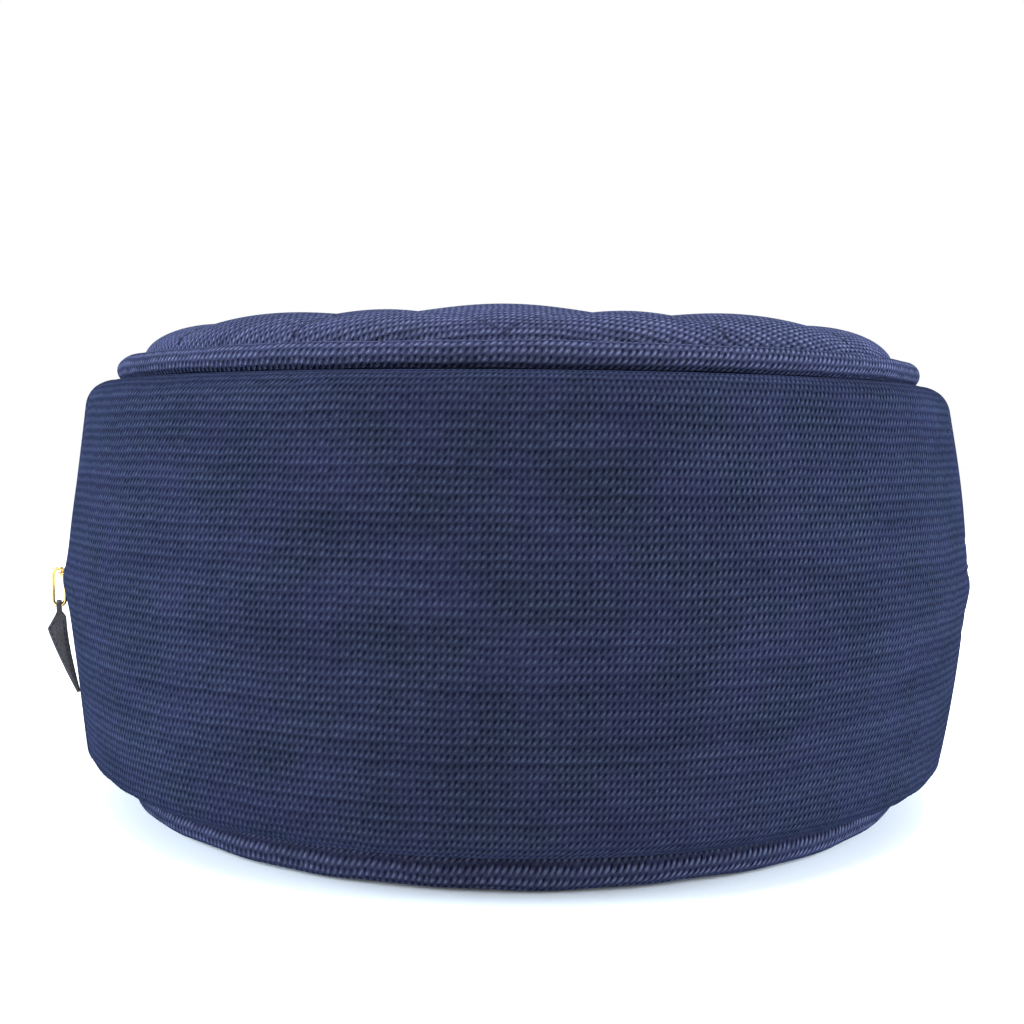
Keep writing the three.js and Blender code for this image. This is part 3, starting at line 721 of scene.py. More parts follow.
def end_tab(name, side, node):
    seam, free_end = BACK_START * GIRTH, BACK_START * GIRTH + TAB_REACH
    tab_across = np.sort(steps(side * seam, side * free_end, TAB_COLUMN))
    panel, across, up = cut_panel(name, tab_across, steps(-TAB_HALF, TAB_HALF, TAB_ROW))
    angle = across / GIRTH
    radius, height = band_wall(angle, up)
    from_edge = (TAB_HALF - np.abs(up)) / LONG_EDGE_WIDTH
    from_end = (free_end - np.abs(across)) / FREE_END_WIDTH
    roll = LONG_EDGE_ROLL * np.exp(-(from_edge ** 2)) + FREE_END_ROLL * np.exp(-(from_end ** 2))
    radius = radius + zip_bulge(angle, up) - side_valley(angle) - roll
    put_points(panel, round_the_cushion(angle, radius, height))
    apply_modifier(panel, "SOLIDIFY", thickness=KNIT, offset=-1)
    smooth(panel)
    finished(panel, "cushion", "navy_knit", SHADED_BAND_KNIT, node)


end_tab("end_tab_right", 1, "zip_end_tab_right")
end_tab("end_tab_left", -1, "zip_end_tab_left")

# %% [markdown]
# ## Welts
# A welt is a soft cord wrapped in knit cut on the bias, sewn between face and band. It is the
# fat roll at the top and bottom edge. The cloth is cut as a long strip and rolled: most of it
# goes round the cord, and its two edges run flat into the seam. A bare torus would be quicker,
# but its stitches would not run round the roll, and it would have no allowance in the seam.
# Its two ends meet at the back. The roll is a little uneven, because the filling is. The top
# one is pressed thin by the faces pulled tight over it, and the base one is squeezed fat.

# %% Welts
WELT_COLUMN = 2.4 * MM
WELT_ROW = 1.2 * MM
WELT_OPEN = math.radians(60)
WELT_FLANGE = 7 * MM
WELT_PRESSED = 0.9 * MM
UPPER_PLY = 0.7 * MM
LOWER_PLY = -0.3 * MM
WELT_FULLNESS = {1: 0.9, -1: 1.24}
WELT_SETTLE = 0.7 * MM
WELT_CLEAR = 0.3 * MM
SWELLS = ((0.035, 11, 0.8), (0.025, 27, 0), (0.02, 5, 2))
welt_wrap = (math.pi - WELT_OPEN / 2) * WELT_RADIUS
welt_round = steps(math.pi * WELT_RING, 3 * math.pi * WELT_RING, WELT_COLUMN)
around_cord = steps(-welt_wrap, welt_wrap, WELT_ROW)


def welt_size(angle, side):
    """The roll's radius at an angle round the cushion; the filling makes it swell here and there."""
    swell = 1 + sum(share * np.sin(times * angle + start) for share, times, start in SWELLS)
    return WELT_RADIUS * swell * WELT_FULLNESS[side]


def welt_line(side):
    """Radius of the ring on which the roll's middle lies, and its height."""
    tuck = BASE_TUCK if side < 0 else 0
    return WELT_RING - tuck, MID + side * (HALF_BAND + WELT_HEIGHT) - WELT_SETTLE


def welt(name, side, node):
    """Rolled cloth round the cord. Turn 0 faces outwards, and the opening faces the axis."""
    roll, across, up = cut_panel(name, welt_round, around_cord)
    angle = across / WELT_RING
    turn = up / WELT_RADIUS
    size = welt_size(angle, side)
    ring_radius, ring_height = welt_line(side)
    radius = ring_radius + size * np.cos(turn)
    height = ring_height + size * np.sin(turn)
    put_points(roll, round_the_cushion(angle, radius, np.maximum(height, WELT_CLEAR)))
    select_points(roll, np.isclose(np.abs(up), np.abs(up).max()))
    bpy.ops.mesh.extrude_region_move()
    bpy.ops.object.mode_set(mode="OBJECT")
    places = points_of(roll)
    flange = places[len(up):]
    out = np.hypot(flange[:, 0], flange[:, 1])
    above = flange[:, 2] > MID + side * (HALF_BAND + WELT_HEIGHT)
    flange[:, :2] *= ((out - WELT_FLANGE) / out)[:, None]
    ply = np.where(above, UPPER_PLY, LOWER_PLY)
    flange[:, 2] = MID + side * (HALF_BAND + WELT_PRESSED) + ply
    put_points(roll, places)
    close_up(roll)
    apply_modifier(roll, "SOLIDIFY", thickness=KNIT / 2, offset=-1)
    smooth(roll, sharp=70)
    finished(roll, "cushion", "navy_knit", HALF_LIT_WELT_KNIT, node)


welt("top_welt", 1, "top_welt_cover")
welt("base_welt", -1, "base_welt_cover")

# %% [markdown]
# ## Filler cords
# Inside each welt lies a soft cord that gives it its roundness. It is hidden, but it has to stay
# inside the roll where that is thin, so it can't be a plain ring: a torus is added at the welt's
# own ring, and its points are then drawn in or out by the same swelling as the roll.

# %% Filler cords
CORD_SHARE = 0.72


def filler_cord(name, side, node):
    """The soft cord inside the roll: a torus that swells with it."""
    ring_radius, ring_height = welt_line(side)
    clear_selection()
    bpy.ops.mesh.primitive_torus_add(
        major_radius=ring_radius, minor_radius=CORD_SHARE * WELT_RADIUS,
        major_segments=220, minor_segments=14, location=(0, 0, 0))
    cord = bpy.context.object
    cord.name = cord.data.name = name
    places = points_of(cord)
    angle = np.arctan2(places[:, 0], -places[:, 1])
    fuller = welt_size(angle, side) / WELT_RADIUS
    out = ring_radius + (np.hypot(places[:, 0], places[:, 1]) - ring_radius) * fuller
    height = np.maximum(ring_height + places[:, 2] * fuller, KNIT)
    put_points(cord, round_the_cushion(angle, out, height))
    smooth(cord)
    finished(cord, "cushion", "white_wadding", WADDING, node)


filler_cord("top_cord", 1, "top_welt_cord")
filler_cord("base_cord", -1, "base_welt_cord")

# %% [markdown]
# ## Quilted faces
# Each face is knit laid over wadding and sewn through in diagonal lines. The cloth is held down
# along the lines and billows between them. That is exactly what a cloth simulation does well:
# the lines and the rim are pinned, a gentle pressure lifts the rest, and the lift is then scaled
# to the height the wadding gives. Painting the billows with a formula is quicker but looks
# pressed, because real billows run flatter in the middle and steeper at the thread.
# The grid is laid at 45 degrees, so the quilting lines run along its edges. The flat cloth is
# bent over the crown by its length along the curve, so the stitches keep their size.

# %% The crown of a face
LATTICE = 62.2 * MM
LATTICE_STEPS = 20
LATTICE_TURN = math.radians(45)
FACE_RIM = 9 * MM
RIM_WALL = 5.5 * MM
HELD_RIM = RIM_WALL + 3.5 * MM
APEX = Vector((-5, -152)) * MM
TOP_SINK = 7 * MM
BASE_RISE = SEAM_LOW - 2.2 * MM


def crown_curve(face_radius, rise, flat, power):
    """Length along the crown from its centre, with the radius and height it reaches.

    The share called flat stays level, and a higher power keeps the crown full towards its rim.
    """
    share = 1 - np.linspace(1, 0, 400) ** 3
    along = np.clip((share - flat) / (1 - flat), 0, 1)
    radius = np.append(share * face_radius, face_radius)
    height = FACE_RIM + (rise - FACE_RIM) * np.sqrt(np.clip(1 - along ** power, 0, None))
    height = np.append(height, FACE_RIM - RIM_WALL)
    length = np.append(0, np.cumsum(np.hypot(np.diff(radius), np.diff(height))))
    return length, radius, height


def on_line(lattice_steps):
    """True where a distance, counted in lattice steps, falls on a quilting line."""
    half = LATTICE_STEPS / 2
    return np.abs((lattice_steps + half) % LATTICE_STEPS - half) < 0.01


def face_cloth(name, side, curve):
    """The flat round of cloth, bent over the crown. Returns it with flat positions and its pins."""
    length, radius, height = curve
    reach = length[-1]
    step = LATTICE / LATTICE_STEPS
    count = math.ceil(1.1 * reach / step)
    lines = np.arange(-count, count + 1) * step
    cos, sin = math.cos(LATTICE_TURN), math.sin(LATTICE_TURN)
    start = Vector((APEX.x * cos + APEX.y * sin, APEX.y * cos - APEX.x * sin))
    offset = [(value + LATTICE / 2) % LATTICE - LATTICE / 2 for value in start]
    cloth, p, q = cut_panel(name, lines + offset[0], lines + offset[1])
    x = p * cos - q * sin
    y = p * sin + q * cos
    flat = np.hypot(x, y)
    put_points(cloth, np.stack([x, y, np.zeros(len(x))], 1))
    select_points(cloth, flat > reach)
    bpy.ops.mesh.delete(type="VERT")
    bpy.ops.mesh.select_all(action="SELECT")
    bpy.ops.mesh.region_to_loop()
    bpy.ops.object.mode_set(mode="OBJECT")
    places = points_of(cloth)
    rim = np.zeros(len(places), bool)
    cloth.data.vertices.foreach_get("select", rim)
    x, y = places[:, 0], places[:, 1]
    flat = np.hypot(x, y)
    pull = np.where(rim, reach / np.maximum(flat, MM), 1)
    x, y, flat = x * pull, y * pull, flat * pull
    corners = np.zeros(len(cloth.data.loops), int)
    cloth.data.loops.foreach_get("vertex_index", corners)
    uv = np.stack([x, y], 1)[corners] / MM
    cloth.data.uv_layers["cloth"].data.foreach_set("uv", uv.ravel())
    p = (x * cos + y * sin - offset[0]) / step
    q = (y * cos - x * sin - offset[1]) / step
    pins = on_line(p) | on_line(q) | (flat > reach - HELD_RIM)
    ratio = np.interp(flat, length, radius) / np.maximum(flat, MM / 100)
    z = MID + side * (HALF_BAND + np.interp(flat, length, height))
    put_points(cloth, np.stack([x * ratio, y * ratio, z], 1))
    if side < 0:
        select_points(cloth, np.ones(len(x), bool))
        bpy.ops.mesh.flip_normals()
        bpy.ops.object.mode_set(mode="OBJECT")
    return cloth, pins


top_curve = crown_curve(FACE_RADIUS, TOP - SEAM_HIGH - TOP_SINK, 0, 10)
base_curve = crown_curve(FACE_RADIUS - BASE_TUCK, BASE_RISE, 0.8, 2)
print("half a crown is", round(top_curve[0][-1] / MM, 1), "mm of cloth")

# %% [markdown]
# ## Billows
# The simulation runs for twenty frames with no gravity. The wadding under a real quilted face is
# sewn flat along the lines and stops the cloth from creasing, so only the rise along the face's
# own normal is kept, evened out over neighbours, and joined with a plain pillow. The rise is then
# scaled so that the billows come to a set height, which also caps any stray point.
# The base carries the cushion, so its billows are pressed flat where they meet the ground.

# %% Simulating the billows
SIMULATED_FRAMES = 20
EVENING_PASSES = 6
PILLOW_PASSES = 60
PILLOW_SWELL = 0.01
PILLOW_SHARE = 0.55
HIGHEST_BILLOW = 1.2
TOP_LIFT = 5 * MM
BASE_LIFT = 3.5 * MM


def evened(height, pins, edges, passes, swell=0.0):
    """Each point's height becomes its neighbours' mean, a few times over; pinned points stay down."""
    for _ in range(passes):
        nearby = np.zeros(len(height))
        np.add.at(nearby, edges[:, 0], height[edges[:, 1]])
        np.add.at(nearby, edges[:, 1], height[edges[:, 0]])
        height = np.where(pins, 0.0, nearby / 4 + swell)
    return height


def blown_up(cloth, pins):
    """Runs the cloth simulation under pressure, with the pinned points held."""
    pinned = cloth.vertex_groups.new(name="quilting")
    pinned.add([int(i) for i in np.flatnonzero(pins)], 1.0, "REPLACE")
    pick(cloth)
    bpy.ops.object.modifier_add(type="CLOTH")
    simulation = cloth.modifiers[-1]
    simulation.settings.quality = 5
    simulation.settings.mass = 0.2
    simulation.settings.tension_stiffness = 12
    simulation.settings.compression_stiffness = 12
    simulation.settings.shear_stiffness = 8
    simulation.settings.bending_stiffness = 2
    simulation.settings.use_pressure = True
    simulation.settings.uniform_pressure_force = 4
    simulation.settings.effector_weights.gravity = 0
    simulation.settings.vertex_group_mass = "quilting"
    simulation.collision_settings.use_collision = False
    simulation.point_cache.frame_start = 1
    simulation.point_cache.frame_end = SIMULATED_FRAMES
    for frame_number in range(1, SIMULATED_FRAMES + 1):
        bpy.context.scene.frame_set(frame_number)
    bpy.ops.object.modifier_apply(modifier=simulation.name)
    bpy.context.scene.frame_set(1)
    cloth.vertex_groups.clear()
    return points_of(cloth)


def billow(cloth, pins, lift):
    """Blows the cloth up between its pinned lines, to a height of lift."""
    rest = points_of(cloth)
    normals = np.array([vertex.normal[:] for vertex in cloth.data.vertices])
    edges = np.array([edge.vertices[:] for edge in cloth.data.edges])
    height = evened(np.where(pins, 0.0, 1.0), pins, edges, PILLOW_PASSES, PILLOW_SWELL)
    height /= np.percentile(height[~pins], 97)
    move = blown_up(cloth, pins) - rest
    blown = np.clip((move * normals).sum(1), 0, None)
    print(cloth.name, "rose", round(np.percentile(blown[~pins], 97) / MM, 2), "mm before scaling")
    blown = evened(blown, pins, edges, EVENING_PASSES)
    blown = np.minimum(blown / max(np.percentile(blown[~pins], 90), MM / 100), HIGHEST_BILLOW)
    height = PILLOW_SHARE * height + (1 - PILLOW_SHARE) * blown
    put_points(cloth, rest + normals * (lift * height)[:, None])

# %% [markdown]
# ## The quilted faces, from cloth to wadding
# The simulated cloth is a single sheet. A copy of it, moved just inside, becomes the layer of
# wadding, so the two billow together and the wadding can't show through. Then both sheets get
# their thickness. The base is kept a hair above the ground.

# %% Quilted faces
WADDING_GAP = 0.2 * MM
WADDING_LAYER = 1 * MM
OFF_GROUND = 0.05 * MM


def wadding_under(cloth, name, node):
    """A layer of wadding with the same billows, just inside the cloth."""
    pick(cloth)
    bpy.ops.object.duplicate()
    layer = bpy.context.object
    layer.name = layer.data.name = name
    apply_modifier(layer, "DISPLACE", strength=-(KNIT + WADDING_GAP), mid_level=0)
    apply_modifier(layer, "SOLIDIFY", thickness=WADDING_LAYER, offset=-1)
    smooth(layer, sharp=80)
    finished(layer, "cushion", "white_wadding", WADDING, node)


def quilted_face(name, side, curve, lift, node, wadding_node):
    cloth, pins = face_cloth(name, side, curve)
    billow(cloth, pins, lift)
    apply_modifier(cloth, "SUBSURF", levels=1, render_levels=1)
    places = points_of(cloth)
    places[:, 2] = np.maximum(places[:, 2], OFF_GROUND)
    put_points(cloth, places)
    wadding_under(cloth, name + "_wadding", wadding_node)
    apply_modifier(cloth, "SOLIDIFY", thickness=KNIT, offset=-1)
    smooth(cloth, sharp=80)
    finished(cloth, "cushion", "navy_knit", LIT_FACE_KNIT, node)


quilted_face("quilted_top", 1, top_curve, TOP_LIFT, "top_face_knit", "top_face_wadding")
quilted_face("quilted_base", -1, base_curve, BASE_LIFT, "base_face_knit", "base_face_wadding")

# %% [markdown]
# ## Things that repeat
# Stitches and zip teeth come in hundreds. One of each is modelled by hand with a few dozen
# faces, and this helper lays out copies: each copy is turned and moved by its own matrix, and
# all copies of a row become one piece.

# %% Laying out copies
def lay_copies(name, model, places):
    """One piece made of a copy of the model at each place, which is a 4 by 4 matrix."""
    points = np.hstack([points_of(model), np.ones((len(model.data.vertices), 1))])
    faces = [face.vertices[:] for face in model.data.polygons]
    every = np.concatenate([(points @ np.array(place).T)[:, :3] for place in places])
    starts = [i * len(points) for i in range(len(places))]
    shifted = [[corner + start for corner in face] for start in starts for face in faces]
    mesh = bpy.data.meshes.new(name)
    mesh.from_pydata(every.tolist(), [], shifted)
    made = bpy.data.objects.new(name, mesh)
    bpy.context.scene.collection.objects.link(made)
    smooth(made, sharp=40)
    return made


def frame_at(place, out, along):
    """A matrix whose X runs along, whose Z points out, placed at a point."""
    z = Vector(out).normalized()
    x = Vector(along)
    x = (x - z * x.dot(z)).normalized()
    y = z.cross(x)
    turn = Matrix((x, y, z)).transposed().to_4x4()
    return Matrix.Translation(place) @ turn


def round_outwards(angle):
    """The directions out of the cushion and along its band at an angle from the front."""
    return Vector((math.sin(angle), -math.cos(angle), 0)), Vector((math.cos(angle), math.sin(angle), 0))


def join_parts(name, parts, active):
    """Joins the parts into one piece, which takes the place of the active one."""
    clear_selection()
    for part in parts:
        part.select_set(True)
    bpy.context.view_layer.objects.active = active
    bpy.ops.object.join()
    whole = bpy.context.object
    whole.name = whole.data.name = name
    return whole


def discard(model):
    bpy.data.objects.remove(model)


# %% [markdown]
# ## Stitches
# A stitch of thread is a short soft capsule, half sunk in the cloth. A small ball is pulled out
# along its length: the two halves are selected in turn and moved apart.

# %% One stitch
def one_stitch(length, thickness):
    """A capsule that lies along X."""
    clear_selection()
    bpy.ops.mesh.primitive_uv_sphere_add(
        segments=6, ring_count=6, radius=thickness / 2, rotation=(0, math.pi / 2, 0))
    model = bpy.context.object
    bpy.ops.object.transform_apply(location=True, rotation=True, scale=True)
    for end in (1, -1):
        select_points(model, points_of(model)[:, 0] * end > thickness / 100)
        bpy.ops.transform.translate(value=(end * (length - thickness) / 2, 0, 0))
        bpy.ops.object.mode_set(mode="OBJECT")
    return model


def stitch_line(name, model, places, body="cushion", slot="navy_knit"):
    finished(lay_copies(name, model, places), body, slot, THREAD)


ZIP_STITCH = 3.3 * MM
STITCHING_START = BACK_START + 0.015
zip_stitch = one_stitch(2.5 * MM, 0.65 * MM)
for side, where in ((1, "top"), (-1, "bottom")):
    places = []
    for line in (LIP_STITCHING, TAPE_STITCHING):
        for angle in np.arange(STITCHING_START, 2 * math.pi - STITCHING_START, ZIP_STITCH / GIRTH):
            radius, height = strip_surface(np.array([angle]), np.array([line]), side)
            out, along = round_outwards(angle)
            places.append(frame_at(out * (radius[0] + FOLD) + Vector((0, 0, height[0])), out, along))
    stitch_line("zip_stitching_" + where, zip_stitch, places)
discard(zip_stitch)

# %% [markdown]
# ## Stitches along the quilting lines
# The quilting is sewn in two sets of parallel lines across the face. Each line is walked on the
# flat cloth, stitch by stitch, and each stitch is then carried to the crown with the same curve
# that bent the cloth, so it lies in its groove. Only the top face gets them: the base lies on
# the ground.

# %% Stitches along the quilting lines
QUILT_STITCH = 4.4 * MM
UNSEWN_RIM = RIM_WALL + 4 * MM
STITCH_DEPTH = 0.05 * MM
quilt_stitch = one_stitch(3.1 * MM, 0.8 * MM)


def quilt_stitches(name, side, curve):
    length, radius, height = curve
    reach = length[-1] - UNSEWN_RIM
    places = []
    for direction in (LATTICE_TURN, -LATTICE_TURN):
        run = np.array([math.cos(direction), math.sin(direction)])
        off = np.array([-run[1], run[0]])
        start = (APEX.x * off[0] + APEX.y * off[1] + LATTICE / 2) % LATTICE - LATTICE / 2
        for line in np.arange(-4, 5) * LATTICE + start:
            if abs(line) > reach:
                continue
            half = math.sqrt(reach ** 2 - line ** 2)
            for along in np.arange(-half, half, QUILT_STITCH):
                ends = [off * line + run * (along + part) for part in (0, MM)]
                spots = []
                for flat in ends:
                    distance = np.hypot(*flat)
                    out = flat / max(distance, MM / 100) * np.interp(distance, length, radius)
                    up = HALF_BAND + np.interp(distance, length, height)
                    spots.append(Vector((*out, MID + side * up)))
                distance = np.hypot(*ends[0])
                rise = np.interp(distance + MM, length, height) - np.interp(distance, length, height)
                spread = np.interp(distance + MM, length, radius) - np.interp(distance, length, radius)
                outwards = Vector((*(ends[0] / max(distance, MM / 100)), 0))
                normal = outwards * -rise + Vector((0, 0, side * spread))
                spot = spots[0] - normal.normalized() * STITCH_DEPTH
                places.append(frame_at(spot, normal, spots[1] - spots[0]))
    stitch_line(name, quilt_stitch, places)


quilt_stitches("quilting_stitches_top", 1, top_curve)
discard(quilt_stitch)

# %% [markdown]
# ## Zip teeth
# Each tooth is a brass bar that grips the tape with two legs and ends in a head with a small
# nib. Teeth of the two tapes stand turn about, so every head sits between two others.
# A tooth starts as a cube: its root is extruded and widened, its head is inset and drawn out,
# and all its edges get a small bevel.

# %% One tooth
CHAIN_RADIUS = GIRTH - 3 * MM
CHAIN_THICKNESS = 3.2 * MM
CHAIN_START = math.radians(75.2)
TOOTH_WIDTH = 1.5 * MM
TOOTH_PITCH = 3.4 * MM
HEAD_CROSSING = 0.7 * MM
HEAD_MIDDLE = 0.55 * MM


def select_faces(obj, test):
    """Only faces whose normal and centre pass the test are selected."""
    pick(obj)
    bpy.ops.object.mode_set(mode="EDIT")
    bpy.ops.mesh.select_mode(type="FACE")
    bpy.ops.mesh.select_all(action="DESELECT")
    bpy.ops.object.mode_set(mode="OBJECT")
    for face in obj.data.polygons:
        face.select = test(face.normal, face.center)
    bpy.ops.object.mode_set(mode="EDIT")


def one_tooth():
    """X runs along the zip, Y up, away from the head, and Z outwards."""
    clear_selection()
    head = (TOOTH_WIDTH, 2 * (HEAD_MIDDLE + HEAD_CROSSING), 0.8 * CHAIN_THICKNESS)
    bpy.ops.mesh.primitive_cube_add(size=1, location=(0, HEAD_MIDDLE, 0), scale=head)
    model = bpy.context.object
    bpy.ops.object.transform_apply(location=True, rotation=True, scale=True)
    select_faces(model, lambda normal, centre: normal.y > 0.9)
    bpy.ops.mesh.extrude_region_move(TRANSFORM_OT_translate={"value": (0, 0.5 * MM, 0)})
    bpy.ops.transform.resize(value=(1, 1, 1.25))
    bpy.ops.mesh.extrude_region_move(TRANSFORM_OT_translate={"value": (0, 1.5 * MM, 0)})
    bpy.ops.object.mode_set(mode="OBJECT")
    select_faces(model, lambda normal, centre: normal.y < -0.9)
    bpy.ops.mesh.inset(thickness=0.3 * MM)
    bpy.ops.transform.translate(value=(0, -0.25 * MM, 0))
    bpy.ops.object.mode_set(mode="OBJECT")
    apply_modifier(model, "BEVEL", width=0.16 * MM, segments=1, limit_method="ANGLE")
    return model


tooth = one_tooth()
for side, where, node in ((1, "upper", "zip_teeth_upper"), (-1, "lower", "zip_teeth_lower")):
    places = []
    shift = 0 if side > 0 else TOOTH_PITCH / 2 / CHAIN_RADIUS
    for angle in np.arange(CHAIN_START + shift, 2 * math.pi - CHAIN_START, TOOTH_PITCH / CHAIN_RADIUS):
        out, along = round_outwards(angle)
        places.append(frame_at(out * CHAIN_RADIUS + Vector((0, 0, MID)), out, along * side))
    row = lay_copies("teeth_" + where, tooth, places)
    finished(row, "cushion", "gold_metal", GOLD, node)
discard(tooth)

# %% [markdown]
# ## The slider's own frame
# The slider and its pull are made lying in a plain frame: X points out of the cushion, Y along
# the zip towards the slider's nose, and Z up. One matrix then carries them to their place. Its
# parts are read from the two joints of the pull, so the pieces turn exactly about their pins.

# %% Frame of the slider
joints = {joint["name"]: joint for joint in frame["joints"]}
BAIL = Vector(joints["ring_lift"]["pos_m"])
TAB_PIN = Vector(joints["tab_swing"]["pos_m"])
OUT = Vector((BAIL.x, BAIL.y, 0)).normalized()
ALONG = Vector((-OUT.y, OUT.x, 0))
TO_SLIDER = Matrix.Translation((0, 0, BAIL.z)) @ Matrix((OUT, ALONG, (0, 0, 1))).transposed().to_4x4()
BAIL_OUT = Vector((BAIL.x, BAIL.y)).length
print("bail stands", round((BAIL_OUT - GIRTH) / MM, 2), "mm outside the ridge")

# %% [markdown]
# ## Slider
# The slider has two shield plates joined by a post, with rims that hold the teeth in. Each plate
# is a disc whose outline is squared off and widened towards the nose, then extruded and bevelled.
# The bail that carries the ring is a stretched torus cut off at the plate.

# %% Slider plates, rims and bail
PLATE = 1.4 * MM
RUNNING = 0.4 * MM
LEG_ROOM = 0.9 * MM
OUTER_PLATE = CHAIN_RADIUS + CHAIN_THICKNESS / 2 + RUNNING
INNER_PLATE = CHAIN_RADIUS - CHAIN_THICKNESS / 2 - LEG_ROOM - RUNNING
SHIELD_CORNER = 0.62
SHIELD_HALF_LENGTH = 7.5 * MM
SHIELD_HALF_HEIGHT = 5.25
SHIELD_WIDENING = 0.75
SHIELD_STEPS = ((0.7 * MM, 0.5), (0.9 * MM, 0.9), (1.3 * MM, 0.35))
SHIELD_SWELL = 0.25 * MM


def rounded_block(low, high, bevel):
    """A block between two corners, with rounded edges."""
    clear_selection()
    low, high = Vector(low), Vector(high)
    bpy.ops.mesh.primitive_cube_add(size=1, location=(low + high) / 2, scale=high - low)
    block = bpy.context.object
    bpy.ops.object.transform_apply(location=True, rotation=True, scale=True)
    apply_modifier(block, "BEVEL", width=bevel, segments=3, limit_method="ANGLE")
    return block


def shield_plate(inner, outer, swell):
    """A plate between two distances out. It swells outwards in its middle."""
    clear_selection()
    bpy.ops.mesh.primitive_circle_add(vertices=48, radius=1, fill_type="NGON", rotation=(0, math.pi / 2, 0))
    plate = bpy.context.object
    bpy.ops.object.transform_apply(location=True, rotation=True, scale=True)
    places = points_of(plate)
    length = np.sign(places[:, 1]) * np.abs(places[:, 1]) ** SHIELD_CORNER
    height = np.sign(places[:, 2]) * np.abs(places[:, 2]) ** SHIELD_CORNER
    height = (SHIELD_HALF_HEIGHT + SHIELD_WIDENING * length) * height * MM
    depth = np.full(len(places), inner)
    put_points(plate, np.stack([depth, SHIELD_HALF_LENGTH * length, height], 1))
    select_points(plate, np.ones(len(places), bool))
    bpy.ops.mesh.extrude_region_move(TRANSFORM_OT_translate={"value": (outer - inner, 0, 0)})
    bpy.ops.mesh.select_all(action="SELECT")
    bpy.ops.mesh.normals_make_consistent(inside=False)
    bpy.ops.object.mode_set(mode="OBJECT")
    side = 1 if swell > 0 else -1
    for rim, share in SHIELD_STEPS:
        select_faces(plate, lambda normal, centre: normal.x * side > 0.9 and centre.yz.length < 2 * MM)
        bpy.ops.mesh.inset(thickness=rim)
        bpy.ops.transform.translate(value=(swell * share, 0, 0))
        bpy.ops.object.mode_set(mode="OBJECT")
    apply_modifier(plate, "BEVEL", width=0.3 * MM, segments=2, limit_method="ANGLE", angle_limit=0.9)
    return plate


def stretched_ring(name, centre, major, minor, axis_turn, test, shift):
    """A torus with one part moved away, so that straight sides join two half rings."""
    clear_selection()
    bpy.ops.mesh.primitive_torus_add(
        major_radius=major, minor_radius=minor, major_segments=40, minor_segments=14,
        location=centre, rotation=axis_turn)
    link = bpy.context.object
    link.name = link.data.name = name
    bpy.ops.object.transform_apply(location=True, rotation=True, scale=True)
    select_points(link, test(points_of(link)))
    bpy.ops.transform.translate(value=shift)
    bpy.ops.object.mode_set(mode="OBJECT")
    return link


HAIR = 0.01 * MM
BAIL_WIRE = 0.8 * MM
BAIL_RISE = 2.2 * MM
BAIL_HALF = 5.1 * MM
spread = BAIL_HALF - BAIL_RISE - BAIL_WIRE
bail = stretched_ring("bail", (BAIL_OUT - BAIL_RISE, 0, 0), BAIL_RISE, BAIL_WIRE, (0, 0, 0),
                      lambda at: at[:, 1] > HAIR, (0, spread, 0))
select_points(bail, points_of(bail)[:, 1] < -HAIR)
bpy.ops.transform.translate(value=(0, -spread, 0))
bpy.ops.mesh.select_all(action="SELECT")
bpy.ops.mesh.bisect(
    plane_co=(OUTER_PLATE + PLATE / 2, 0, 0), plane_no=(1, 0, 0), use_fill=True, clear_inner=True)
bpy.ops.object.mode_set(mode="OBJECT")

# %% [markdown]
# ## Putting the slider together
# Between the two plates stand a post at the nose and a rim along each edge, and the bail has a
# small foot at each end. They are rounded blocks that sink a little into the plates, so the
# slider can be joined without any cutting. The rims stop short of the nose, where the two rows
# of teeth part.

# %% Slider
RIM_ENDS = (-7.3 * MM, 2.5 * MM)
RIM_SIDES = (3.6 * MM, 4.5 * MM)
OUTER_RIM_DROP = 1.5 * MM
POST_ENDS = (3 * MM, 6.5 * MM)
POST_HALF = 0.5 * MM
FOOT_HALF_LENGTH = 1.1 * MM
FOOT_HALF_HEIGHT = 1.5 * MM
FOOT_RISE = 0.7 * MM
parts = [
    bail,
    shield_plate(OUTER_PLATE, OUTER_PLATE + PLATE, SHIELD_SWELL),
    shield_plate(INNER_PLATE - PLATE, INNER_PLATE, -SHIELD_SWELL),
    rounded_block((INNER_PLATE, POST_ENDS[0], -POST_HALF), (OUTER_PLATE, POST_ENDS[1], POST_HALF),
                  bevel=0.15 * MM),
]
for side in (1, -1):
    low, high = sorted(side * edge for edge in RIM_SIDES)
    for inner, outer in ((OUTER_PLATE - OUTER_RIM_DROP, OUTER_PLATE + PLATE / 2),
                         (INNER_PLATE - PLATE / 2, INNER_PLATE + LEG_ROOM)):
        corners = [(inner, RIM_ENDS[0], low), (outer, RIM_ENDS[1], high)]
        parts.append(rounded_block(*corners, bevel=0.2 * MM))
    foot = side * (BAIL_HALF - BAIL_WIRE)
    corners = [(OUTER_PLATE + PLATE / 2, foot - FOOT_HALF_LENGTH, -FOOT_HALF_HEIGHT),
               (OUTER_PLATE + PLATE + FOOT_RISE, foot + FOOT_HALF_LENGTH, FOOT_HALF_HEIGHT)]
    parts.append(rounded_block(*corners, bevel=0.35 * MM))
slider = join_parts("slider", parts, parts[1])
slider.data.transform(TO_SLIDER)
smooth(slider, sharp=35)
finished(slider, "slider", "gold_metal", GOLD, "slider_body")

# %% [markdown]
# ## Stops
# At each end of the zip a small clip of metal is crimped over the tape, so the slider can't run
# off. The clip's size and place are read from its CAD solid. A block with rounded edges is made
# there in a plain frame, and a dent is pressed into its outer face where the crimping tool bit.

# %% Crimped stops
STOP_DENT = 0.35 * MM
STOP_RIMS = (0.25 * MM, 0.3 * MM)


